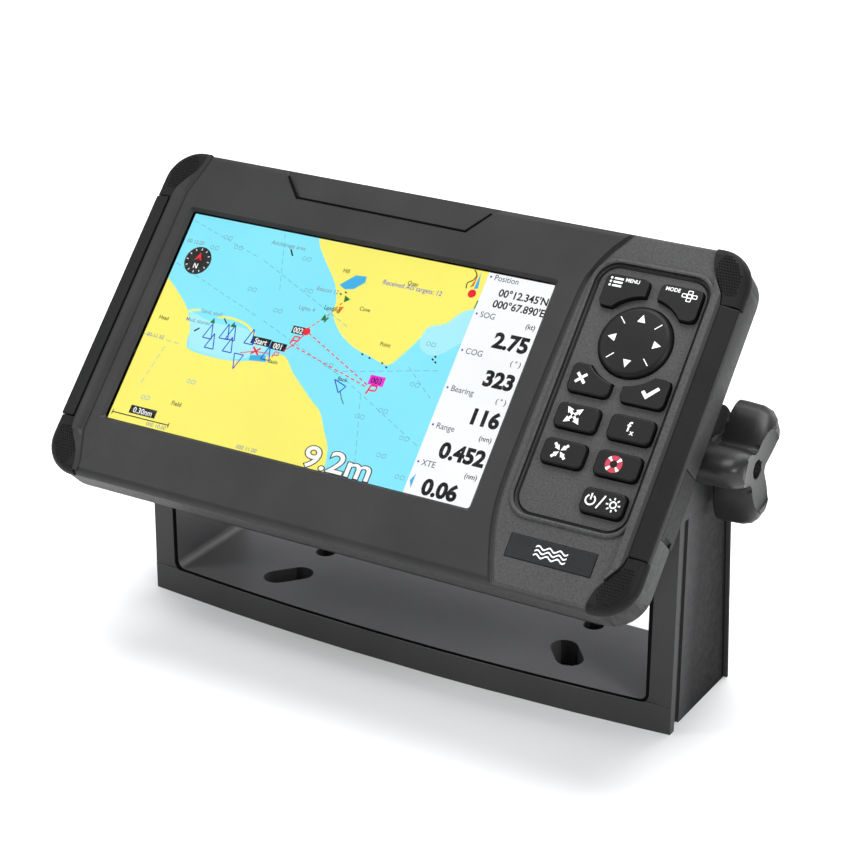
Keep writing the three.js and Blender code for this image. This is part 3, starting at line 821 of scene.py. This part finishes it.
def makeArrowPad():
    front = keyFront + keyCap["padSink"]
    piece = rod("arrow_pad_cap", arrowPad["radius"], front, keyFront + keyCap["skirt"], padX, padZ, 96)
    roundFront(piece, keyCap["padRound"], 6)
    bpy.ops.object.shade_smooth_by_angle(angle=math.radians(40))
    return piece


for name, limits in keyRows.items():
    settle(makeKey(name, limits), name, "key", [name])
settle(makeArrowPad(), "arrow_pad", "key", ["arrow_pad"])


# Flat marks: each shape is an outline in X and Z

def printed(name, outline, y, thickness=0.05):
    plate = standingPlate(name, outline, y - thickness / 2, y + thickness / 2)
    return tidyMesh(plate, 0.0005)


def bar(start, end, width):
    # a straight stroke's four corners
    (x0, z0), (x1, z1) = start, end
    length = math.hypot(x1 - x0, z1 - z0)
    nx, nz = -(z1 - z0) / length * width / 2, (x1 - x0) / length * width / 2
    return [(x0 + nx, z0 + nz), (x0 - nx, z0 - nz), (x1 - nx, z1 - nz), (x1 + nx, z1 + nz)]


def strokes(path, width):
    return [bar(start, end, width) for start, end in zip(path, path[1:])]


def spoke(x, z, near, far, angle, width):
    return bar(spun(x, z, near, angle), spun(x, z, far, angle), width)


def ring(x, z, outer, inner, start=0, end=360, steps=24):
    return arc(x, z, outer, start, end, steps) + list(reversed(arc(x, z, inner, start, end, steps)))


def box(left, right, bottom, top):
    return [(left, bottom), (right, bottom), (right, top), (left, top)]


def hollow(outline, width):
    return strokes([*outline, outline[0]], width)


def turned(points, x, z, angle):
    # an outline turned about its own origin, then moved
    cos, sin = math.cos(math.radians(angle)), math.sin(math.radians(angle))
    return [(x + px * cos - pz * sin, z + px * sin + pz * cos) for px, pz in points]


def triangle(x, z, size, angle):
    return turned([(0, size * 0.62), (-size * 0.5, -size * 0.38), (size * 0.5, -size * 0.38)], x, z, angle)


def zoomMark(x, z, outwards):
    # four diagonal arrows, pointing out of or into the middle
    near, far, tip, size, turn = (0.5, 2.2, 2.7, 2.3, -90) if outwards else (2.0, 3.6, 1.5, 1.9, 90)
    shapes = []
    for angle in diagonals:
        shapes.append(spoke(x, z, near, far, angle, 0.95))
        shapes.append(triangle(*spun(x, z, tip, angle), size, angle + turn))
    return shapes


def lettering(name, words, middle, y, spread=0.0, thickness=0.05, squeeze=1.0, align="CENTER"):
    # words is a list of (text, x, z, height) about a middle; the letters are made a mesh, then stood up
    parts = []
    for text, x, z, height in words:
        bpy.ops.object.select_all(action="DESELECT")
        bpy.ops.object.text_add()
        letters = bpy.context.object
        letters.data.body = text
        letters.data.size = height * 1.38
        letters.data.align_x = align
        letters.data.extrude = thickness / 2
        letters.data.offset = spread * height
        letters.data.resolution_u = 4
        bpy.ops.object.convert(target="MESH")
        letters = bpy.context.object
        stand = Matrix.Rotation(math.pi / 2, 4, "X") @ Matrix.Scale(squeeze, 4, (1, 0, 0))
        letters.data.transform(Matrix.Translation((middle[0] + x, y, middle[1] + z)) @ stand)
        parts.append(letters)
    return join(name, parts)


def keyMiddle(name):
    left, right, bottom, top = keyRows[name]
    return (left + right) / 2, (bottom + top) / 2


def printMarks(name, shapes, body, ink="legend", y=legendY, thickness=0.05):
    pieces = [printed("mark", shape, y, thickness) for shape in shapes]
    settle(join(name, pieces), body, ink)


# shapes and words about each key's middle
diagonals = (45, 135, 225, 315)
menuRows = (4.4, 3.05, 1.7)
modeCells = ((0, 0), (-1.9, 0), (1.9, 0), (0, 1.35), (0, -1.35))
legends = {
    "key_menu": [shape for z in menuRows
                 for shape in (ring(-6.05, z, 0.45, 0, 0, 330, 10), bar((-5.05, z), (-1.65, z), 0.7))],
    "key_mode": [edge for x, z in modeCells for edge in hollow(box(x + 2.5, x + 4.1, z + 2.4, z + 3.6), 0.3)],
    "key_cancel": [bar((-5.2, 1.4), (-1.7, -2.0), 1.0), bar((-5.2, -2.0), (-1.7, 1.4), 1.0)],
    "key_enter": [[(-1.0, -0.6), (-0.1, 0.2), (1.2, -1.0), (4.4, 2.2), (5.3, 1.4), (1.3, -2.9)]],
    "key_zoom_out": zoomMark(-1.2, 0.2, True),
    "key_zoom_in": zoomMark(-1.2, 0.2, False),
    "key_power": [ring(-4.4, 0, 2.0, 1.45, 120, 420, 20), bar((-4.4, 0.1), (-4.4, 2.4), 0.55),
                  bar((-1.6, -2.4), (0.5, 2.5), 0.55), ring(4.0, 0, 1.35, 0.85, 0, 350, 20),
                  *[spoke(4.0, 0, 1.75, 2.6, angle, 0.5) for angle in range(0, 360, 45)]],
}
keyWords = {
    "key_menu": ("LEFT", [("MENU", -0.85, 3.8, 1.4)]),
    "key_mode": ("LEFT", [("MODE", -6.0, 3.7, 1.4)]),
    "key_function": ("CENTER", [("f", -0.7, -1.0, 3.6), ("x", 0.9, -2.1, 2.0)]),
}
for name, shapes in legends.items():
    printMarks(name + "_symbol", [turned(shape, *keyMiddle(name), 0) for shape in shapes], name)
for name, (align, words) in keyWords.items():
    letters = lettering(name + "_word", words, keyMiddle(name), legendY, 0.02, align=align)
    settle(letters, name, "legend")
padMarks = [triangle(*spun(padX, padZ, 8.2, 90 - turn), 2.9, -turn) for turn in (0, 90, 180, -90)]
padMarks += [spoke(padX, padZ, 7.9, 11.0, angle, 0.34) for angle in diagonals]
printMarks("arrow_pad_symbols", padMarks, "arrow_pad", y=keyFront + keyCap["padSink"] - 0.02, thickness=0.06)
buoyX, buoyZ = keyMiddle("key_distress")
for part, ink, start, end, steps in (("bands", "legend", 34, 56, 6), ("ring", "legendRed", -32, 32, 8)):
    buoy = [ring(buoyX - 1.2, buoyZ, 3.1, 1.35, quarter + start, quarter + end, steps)
            for quarter in (0, 90, 180, 270)]
    printMarks("key_distress_" + part, buoy, "key_distress", ink)
print("keys and their symbols made")


# Picture on the screen

lcdFront = headBox("lcd_panel")[0].y
layerStep = 0.03
screenMiddle = (screen["x"], screen["z"])


def layerY(layer):
    return lcdFront - 0.02 - layer * layerStep


def drawn(name, ink, layer, outlines):
    # outlines are in millimetres about the screen's middle
    parts = [printed("patch", turned(outline, *screenMiddle, 0), layerY(layer), 0.01) for outline in outlines]
    return settle(join("display_" + name, parts), "head", inks[ink])


def written(name, ink, layer, words, spread=0.0, squeeze=1.0, align="CENTER"):
    letters = lettering("display_" + name, words, screenMiddle, layerY(layer), spread, 0.01, squeeze, align)
    return settle(letters, "head", inks[ink])


def dashes(start, end, length, space, width):
    (x0, z0), (x1, z1) = start, end
    span = math.hypot(x1 - x0, z1 - z0)
    dx, dz = (x1 - x0) / span, (z1 - z0) / span
    count = int(span // (length + space))
    starts = [index * (length + space) for index in range(count)]
    return [bar((x0 + dx * at, z0 + dz * at), (x0 + dx * (at + length), z0 + dz * (at + length)), width)
            for at in starts]


def vessel(x, z, size, angle):
    outline = [(0, size * 0.6), (-size * 0.33, -size * 0.4), (size * 0.33, -size * 0.4)]
    return hollow(turned(outline, x, z, angle), 0.42)


def flag(x, z, size):
    cloth = [(0.12, 0.45), (0.9, 0.5), (0.95, 1), (0.25, 1)]
    outline = [(x + size * across, z + size * up) for across, up in cloth]
    return [bar((x, z), (x + size * 0.25, z + size), size * 0.18), *hollow(outline, size * 0.16)]


halfWidth, halfHeight = screen["width"] / 2, screen["height"] / 2
panelEdge = 50.3
rose = (-67.6, 24.6)
southLand = smoothPath([
    (-77, 15.6), (-68.5, 9.6), (-63.5, 5.2), (-60.6, 1.2), (-58.4, -3), (-57.6, -7.6), (-54.5, -10.4),
    (-40, -11), (-29, -9.2), (-21, -5.4), (-15.5, -4.4), (-10, -9.6), (-4, -14), (2, -18.4), (7, -21.6),
    (11.5, -28), (15.6, -34), (18, -42.9)], 3)
northLand = smoothPath([
    (-21.4, 42.9), (-19.4, 39.4), (-14, 33.6), (-7.4, 26.6), (-4.2, 20), (-3.6, 15.4), (2.4, 8.8), (10, 4.6),
    (18, 2.6), (25.6, 0.8), (29.6, 5.6), (34, 13.4), (35.4, 18), (41.6, 20.8), (45.6, 25.8), (50.2, 28.4)], 3)
shoals = [
    smoothPath([(50.2, 28.4), (45.6, 25.8), (41.6, 20.8), (35.4, 18), (34, 13.4), (36.6, 9), (43, 8.4),
                (50.2, 15)], 3),
    smoothPath([(-62, 5), (-50, 2), (-36, 2.5), (-24, -4), (-38, -10.6), (-56, -9.6)], 3),
]
drawn("sea", "sea", 0, [box(-halfWidth, panelEdge, -halfHeight, halfHeight)])
drawn("paper", "paper", 1, [box(panelEdge, halfWidth, -halfHeight, halfHeight)])
drawn("shoal", "shoal", 1, shoals)
drawn("land", "land", 2, [
    [*southLand, (-halfWidth, -halfHeight)], [*northLand, (panelEdge, halfHeight)],
    *strokes(smoothPath([(-62.6, 4), (-60, 5.4), (-57.6, 5.8)], 3), 0.8),
    *strokes(smoothPath([(-49, 4.6), (-43, 5.2), (-36, 4), (-31, 0.8)], 3), 0.9),
])
drawn("pond", "pond", 3, [
    [(-5.6, 26.8), (-0.6, 31.6), (3.8, 32), (4.2, 29.6), (0.6, 26.2), (-2.8, 25.4)],
    [(-29.6, -7), (-23.4, -5.8), (-22.2, -8.2), (-29.2, -9)],
    [(51.2, -38), (52.6, -35.2), (52.6, -40.8)],
    [(46.8, 35.4), (48.4, 36.2), (47.3, 42.4)],
])
faintRuns = [
    ((-76, 40), (-40, 30)), ((-40, 30), (6, 11)), ((-76, 22), (-30, 7)), ((-30, 7), (12, -8)),
    ((12, -8), (50, -26)), ((-36, 42), (-28, 18)), ((-77, -8), (-58, -9)),
    ((-66, -11), (-70, -30)), ((20, -12), (30, -42)), ((34, 2), (50, -10)), ((6, -6), (50, 4)),
]
soundings = [(-60, 36), (-54, 33), (-64, 31), (-24, 34), (-18, 22), (-41, 18), (-27, 12), (38, -4), (30, -16),
             (42, -24), (36, -32), (22, -20), (46, -38), (38, 12), (2, -4), (-66, -32), (-50, -22)]
faintLines = []
for start, end in faintRuns:
    faintLines += dashes(start, end, 2.2, 1.3, 0.22)
for x, z in soundings:
    faintLines += hollow(arc(x, z, 0.8, 0, 300, 5), 0.22)
    faintLines += hollow(box(x + 1.4, x + 2.8, z - 0.7, z + 0.7), 0.22)
drawn("faint_lines", "faint", 3, faintLines)
trackLines = [
    *dashes((-10, 6.2), (22.4, -8.6), 1.7, 1.0, 0.42), *dashes((-15, 0.4), (22.4, -9.2), 1.7, 1.0, 0.42),
    *strokes([(-10.8, 6.2), (-14, 0.4), (-17, -2.6)], 0.4),
    *strokes([(-34, -7), (-28.4, -5.2), (-22, -4.8)], 0.35),
    bar((-29.6, -6.4), (-26.4, -3.6), 0.7), bar((-29.6, -3.6), (-26.4, -6.4), 0.7),
    *flag(21.8, -11.4, 3.6), *flag(-15.6, 0.6, 3.2), *flag(-20.6, -6, 2.4),
]
redDots = [arc(-10.9, 6.5, 1.5, 0, 340, 16), arc(46.9, 33.7, 1.6, 0, 340, 16)]
drawn("red_marks", "red", 5, [*trackLines, *redDots])
drawn("orange_marks", "orange", 4, [
    *dashes((-11, 7.6), (-5.4, 14), 1.2, 0.8, 0.5), *dashes((-5.4, 14), (0.6, 23.6), 1.2, 0.8, 0.5),
    [(45.2, 35.8), (46.6, 41.8), (46.4, 36.6)], [(-1.2, 15.8), (-0.2, 18.8), (-2.2, 18.4)],
])
fleet = [(-50, -2, 6, 0), (-43.2, -0.8, 6, 0), (-40.4, -0.6, 6, 0), (-47.6, -5.6, 6, 0), (-39.6, -5.4, 6, 0),
         (-32.2, -0.6, 6, 0), (-23, -5.2, 5.6, 0), (-34.2, -10, 6, 180), (10.4, -10.6, 5.4, 55)]
vessels = []
for ship in fleet:
    vessels += vessel(*ship)
drawn("vessels", "blue", 5, vessels)
drawn("green_marks", "green", 5, [
    triangle(-50.4, 2.6, 2.2, 0), triangle(-41.4, 2.8, 2.2, 0), triangle(-6.2, 13, 2.6, 10),
    triangle(-0.6, 22, 2.6, 40),
    bar((50.0, 28.4), (50.2, 31.6), 0.5), bar((-5.6, 11.4), (-4.6, 13.6), 0.6),
])
blackMarks = [
    arc(*rose, 5.7, 0, 350, 36), box(-69.2, -57.6, -39.1, -35.9),
    *strokes([(-76, -40.2), (-50.6, -40.2)], 0.42),
    bar((-76, -41.2), (-76, -39.2), 0.36), bar((-50.6, -41.2), (-50.6, -39.2), 0.36),
    box(-31.6, -23.4, -2.5, 0.5), box(-23.2, -16.4, -2.9, 0.1), box(-17, -11.9, 4.8, 7.8),
    *strokes(smoothPath([(44.4, 42.8), (46, 41), (45.4, 38.8), (43.6, 37.4), (43.9, 35.2)], 3), 0.42),
    *strokes([(11.6, -12.4), (13.2, -15), (15, -17)], 0.3), *strokes([(-56.6, -2.8), (-54.8, -1.2)], 0.6),
    *strokes([(-46.4, 4.6), (-44.4, 2.8)], 0.5), *strokes([(-31, 36.4), (-29.2, 34)], 0.6),
]
rocks = [(14, 3), (17.4, 2.2), (23, 1.4), (25.2, 0.2), (41.6, 6.8), (43, 6), (42.2, 8), (-4, 23.6),
         (-2.2, 24.6)]
for x, z in rocks:
    blackMarks.append(bar((x, z), (x + 0.8, z - 0.5), 0.6))
drawn("black_marks", "black", 4, blackMarks)
drawn("magenta_tag", "magenta", 4, [box(21, 27.2, -7.6, -3.9)])
roseMarks = [spoke(*rose, 4.2, 5.0, angle, 0.35) for angle in range(0, 360, 30)]
roseMarks += strokes([(-68.3, 21.4), (-68.3, 23.4), (-66.9, 21.4), (-66.9, 23.4)], 0.4)
drawn("rose_ticks", "white", 6, roseMarks)
drawn("rose_needle", "red", 6, [[(-69.2, 24.6), (-67.6, 28), (-66, 24.6), (-67.6, 25.6)]])
tags = [("Start", -27.5, -2.1, 2.2), ("001", -19.8, -2.5, 2.2), ("002", -14.4, 5.2, 2.2)]
written("tags", "white", 6, tags, 0.022, 0.9)
written("scale_text", "white", 6, [("0.30nm", -63.4, -38.6, 2.2)], 0.014, 0.95)
written("magenta_text", "black", 6, [("003", 24.1, -6.9, 2.2)], 0.03)
written("map_labels", "black", 5, [
    ("Hill", -5, 31.8, 1.6), ("Quay", 23, 32.2, 1.6), ("Cove", 8.4, 18.8, 1.6),
    ("Landing", -4.6, 16.4, 1.7), ("Point", 21.8, 7.4, 1.6), ("Bank", 10.8, -8.8, 1.6),
    ("Head", -71.4, -1, 1.6), ("Field", -51, -32.4, 1.8), ("Basin", -19.4, -8.2, 1.6),
], 0.014, 0.92)
written("grey_labels", "grey", 5, [
    ("Sand, shell", -57, 5, 1.6), ("Mud, stones", -62, 0.6, 1.6), ("Beacon 12", -14, 23, 1.6),
    ("Lights 4", -18, 14.4, 1.6), ("Anchorage area", -40, 37, 1.7), ("00 12.00", -75.6, 31, 1.6),
    ("00 11.50", -75.6, -8.6, 1.6), ("000 10.00", -60, -42.3, 1.6), ("000 11.00", -20, -42.3, 1.6),
], 0.006, align="LEFT")
written("target_note", "blue", 5, [("Received AIS targets: 12", 11, 30.4, 1.95)], 0.004, 0.93, "LEFT")
written("depth_shadow", "black", 5, [("9.2m", 7.6, -42.4, 8.2)], 0.06, 1.28, "LEFT")
written("depth", "white", 6, [("9.2m", 7.6, -42.4, 8.2)], 0.018, 1.28, "LEFT")
rows = [
    # label, height on the panel, unit, value, the value's right end
    ("Position", 40.4, "", "", 0), ("SOG", 25.8, "(kt)", "2.75", 75.6), ("COG", 11.4, "( ° )", "323", 75.6),
    ("Bearing", -3.2, "( ° )", "116", 75.6), ("Range", -17.6, "(nm)", "0.452", 75.6),
    ("XTE", -31.8, "(nm)", "0.06", 70.4),
]
units = [(unit, 75.4, z - 0.8, 1.9) for name, z, unit, value, end in rows if unit]
values = [(value, end, z - 9.9, 5.8) for name, z, unit, value, end in rows if unit]
written("row_labels", "label", 3, [(row[0], 53.0, row[1], 2.3) for row in rows], 0.008, 0.95, "LEFT")
written("row_units", "black", 3, units, 0.02, align="RIGHT")
written("row_values", "black", 3, values, 0.062, align="RIGHT")
position = [("00°12.345'N", 76.6, 34.8, 2.9), ("000°67.890'E", 76.8, 30.4, 2.9)]
written("position_values", "black", 3, position, 0.034, 0.97, "RIGHT")
drawn("row_dots", "blue", 3, [arc(51.6, row[1] + 1, 0.42, 0, 330, 8) for row in rows])
print("picture on the screen drawn")


# Name plate, card door, housing

plateLow, plateHigh = headBox("nameplate")
namePlate = block("nameplate_blank", plateLow.x, plateHigh.x, plateLow.y + 0.25, plateHigh.y,
                  plateLow.z, plateHigh.z)
settle(roundEdges(namePlate, 0.25, 2), "head", "plate", ["nameplate"])
waveMiddle = ((plateLow.x + plateHigh.x) / 2, (plateLow.z + plateHigh.z) / 2)
wave = {"steps": 24, "length": 12, "height": 0.55, "halfWidth": 0.28, "rows": (-1.5, 0, 1.5)}
waves = []
for row in wave["rows"]:
    places = [step / wave["steps"] * wave["length"] for step in range(wave["steps"] + 1)]
    path = [(place - wave["length"] / 2, row + wave["height"] * math.sin(place * math.pi / 2))
            for place in places]
    upper = [(x, z + wave["halfWidth"]) for x, z in path]
    lower = [(x, z - wave["halfWidth"]) for x, z in reversed(path)]
    waves.append(printed("wave", turned(upper + lower, *waveMiddle, 0), plateLow.y + 0.23, 0.04))
settle(join("nameplate_waves", waves), "head", "legend")

doorLow, doorHigh = headBox("card_door")
notch = {"radius": 2.4, "margin": 2.2, "out": 1.7, "up": 0.2}


def makeCardDoor():
    piece = block("card_door_flap", doorLow.x, doorHigh.x + 0.1, doorLow.y, doorHigh.y, doorLow.z, doorHigh.z)
    cutAway(piece, rod("notch", notch["radius"], doorLow.y + notch["margin"], doorHigh.y - notch["margin"],
                       doorHigh.x + notch["out"], doorLow.z + notch["up"], 32))
    return roundEdges(piece, 0.3, 3)


settle(makeCardDoor(), "card_door", "strip", ["card_door"])


vein = {"count": 9, "bottom": 8, "step": 4.2, "height": 1.9, "halfLength": 70, "depth": 0.9}


def makeHousing():
    piece = roundEdges(copyOfNode("rear_housing_shell", "rear_housing"), 0.45, 3, 30)
    back = headBox("rear_housing")[1].y
    # shallow cooling grooves across the upper back
    for row in range(vein["count"]):
        z = vein["bottom"] + row * vein["step"]
        cutAway(piece, block("vein", -vein["halfLength"], vein["halfLength"], back - vein["depth"], back + 1,
                             z, z + vein["height"]))
    return shadeSmooth(mergeFlat(piece))


settle(makeHousing(), "head", "housing", ["rear_housing"])
print("housing made")


# Bracket

# the last two entries size the near-black bead laid in the frame groove, which is painted shadow
yoke = {"halfWidth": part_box("bracket_yoke")[1].x * 1000, "front": -24.85, "bulge": 5.8, "inner": 102.6,
        "floor": 10.5, "corner": 3.5, "top": 112, "lineBehind": 1.4, "lineRadius": 0.9,
        "seal": 0.7, "shadowBeadSink": 0.25}


def frameLine(x):
    # the front edge of the base, bowed forwards between the arms
    radius = (yoke["halfWidth"] ** 2 + yoke["bulge"] ** 2) / (2 * yoke["bulge"])
    return yoke["front"] - yoke["bulge"] + radius - math.sqrt(radius ** 2 - x ** 2)


def framePath(sink):
    # where the inner faces meet the front frame: down one arm, along the base and up the other
    inner, floorTop, corner = yoke["inner"] + sink, yoke["floor"] - sink, yoke["corner"]
    line = [(inner, yoke["top"]), *arc(inner - corner, floorTop + corner, corner, 0, -90)]
    line = [(x, frameLine(x) + yoke["lineBehind"], z) for x, z in line]
    base = [(x, frameLine(x) + yoke["lineBehind"], floorTop) for x in range(90, -91, -10)]
    return [*line, *base, *[(-x, y, z) for x, y, z in reversed(line)]]


def makeYoke():
    piece = copyOfNode("bracket_yoke_body", "bracket_yoke", onHead=False)
    cutAway(piece, bead("frameLine", framePath(0), yoke["lineRadius"]))
    return roundEdges(mergeFlat(piece), 0.5, 3, 30)


def paintBracket(piece):
    # the faces that point forwards take a darker copy of the plastic and the arms' outer sides a colour that
    # falls off towards the back: painted shade, set by which way each face points
    piece.data.materials.append(finish["bracketFrontPaintedShade"])
    piece.data.materials.append(finish["bracketSidePaintedShade"])
    limit = yoke["halfWidth"] / 1000 - 0.004
    for face in piece.data.polygons:
        if face.normal.y < -0.7:
            face.material_index = 1
        elif abs(face.normal.x) > 0.7 and abs(face.center.x) > limit:
            face.material_index = 2
    # the front frame shades as one flat face
    normals = [corner.vector.copy() for corner in piece.data.corner_normals]
    for face in piece.data.polygons:
        if face.normal.y < -0.9:
            for index in face.loop_indices:
                normals[index] = Vector((0, -1, 0))
    piece.data.normals_split_custom_set(normals)


yokePiece = settle(makeYoke(), "bracket", "bracket", ["bracket_yoke"], onHead=False)
paintBracket(yokePiece)
# a near-black bead in the front frame's groove: painted shadow
frameShadowBead = bead("bracket_frame_shadow_line", framePath(yoke["shadowBeadSink"]), yoke["seal"])
settle(frameShadowBead, "bracket", "shadow", onHead=False)
print("bracket made")


# Knobs

knob = {"inner": 114.1, "outer": 130.3, "phase": math.radians(42), "bore": 3.5, "hub": 8.0, "reach": 16.0,
        "narrow": 2.9, "dish": 15, "dishDepth": 2.0}
# each step up a knob: its share of the length, and how much it draws in
knobSteps = [(0.14, 1.0), (0.36, 0.985), (0.2, 0.95), (0.13, 0.9), (0.06, 0.9), (0.04, 0.95)]


def wingOutline(steps=108):
    points = []
    for step in range(steps):
        angle = step / steps * 2 * math.pi
        crest = abs(math.cos(1.5 * (angle - knob["phase"])))
        radius = knob["hub"] + knob["reach"] * crest ** knob["narrow"]
        points.append((radius * math.cos(angle), radius * math.sin(angle)))
    return points


def makeKnob(name, side):
    length = knob["outer"] - knob["inner"]
    piece = outlinePlate(name, wingOutline(), -1, 0)
    steps = []
    for share, scale in knobSteps:
        step = {"TRANSFORM_OT_translate": {"value": (0, -length * share, 0)}}
        steps.append((bpy.ops.mesh.extrude_region_move, step))
        steps.append((bpy.ops.transform.resize, {"value": (scale, 1, scale), "center_override": (0, 0, 0)}))
    editFaces(piece, facesFront, *steps)
    tidyMesh(piece)
    # a dish in the end face, and the bore for the stud
    front = min(vertex.co.y for vertex in piece.data.vertices)
    bpy.ops.mesh.primitive_uv_sphere_add(segments=64, ring_count=32, radius=1, location=(0, front, 0))
    dish = newest("dish")
    dish.scale = (knob["dish"], knob["dishDepth"], knob["dish"])
    bpy.ops.object.transform_apply(location=True, rotation=True, scale=True)
    cutAway(piece, dish)
    cutAway(piece, rod("bore", knob["bore"], -40, 20, 0, 0, 48))
    roundEdges(piece, 0.45, 3, 40)
    # lay the knob's axis along X on its side of the head
    turn = Matrix.Rotation(math.pi / 2 if side > 0 else -math.pi / 2, 4, "Z")
    lift = Matrix.Translation((side * (knob["inner"] + 1), 0, tiltJoint["pos_m"][2] * 1000))
    piece.data.transform(lift @ turn)
    return piece


for place, side in (("left", -1), ("right", 1)):
    settle(makeKnob("knob_grip_" + place + "_body", side), "knob_" + place, "knob",
           ["knob_grip_" + place], onHead=False)
print("knobs made")


# CAD nodes that stay as they are

kept = {
    "steel": ["lcd_frame", "card_socket", "arrow_pad_pivot", "knob_stud_left", "knob_stud_right",
              "knob_washer_left", "knob_washer_right"] + [f"case_screw_{index}" for index in range(1, 7)],
    "brass": ["pivot_insert_left", "pivot_insert_right"],
    "board": ["main_board", "keypad_board"],
    "seal": ["housing_seal", "friction_washer_left", "friction_washer_right", "vent_plug"],
    "socket": ["power_socket", "sonar_socket", "antenna_socket", "buzzer", "lcd_panel"],
    "key": ["keypad_mat"],
    "glass": ["screen_lens"],
}
for material, names in kept.items():
    for name in names:
        nodes[name].data.materials.clear()
        nodes[name].data.materials.append(finish[material])

# Floor

bpy.ops.object.select_all(action="DESELECT")
bpy.ops.mesh.primitive_plane_add(size=8, location=(0, 0, 0))
floor = newest("studio_floor")
floorPaint = Paint("studio_floor")
mottle = floorPaint.remap(floorPaint.noise(floorPaint.place(False), 0.004, 2.0), 0.3, 0.7)
floorTone = floorPaint.blend(mottle, (0.86, 0.865, 0.87), (0.9, 0.9, 0.9))
floor.data.materials.append(floorPaint.set(baseColor=floorTone, roughness=0.8, specular=0.1))
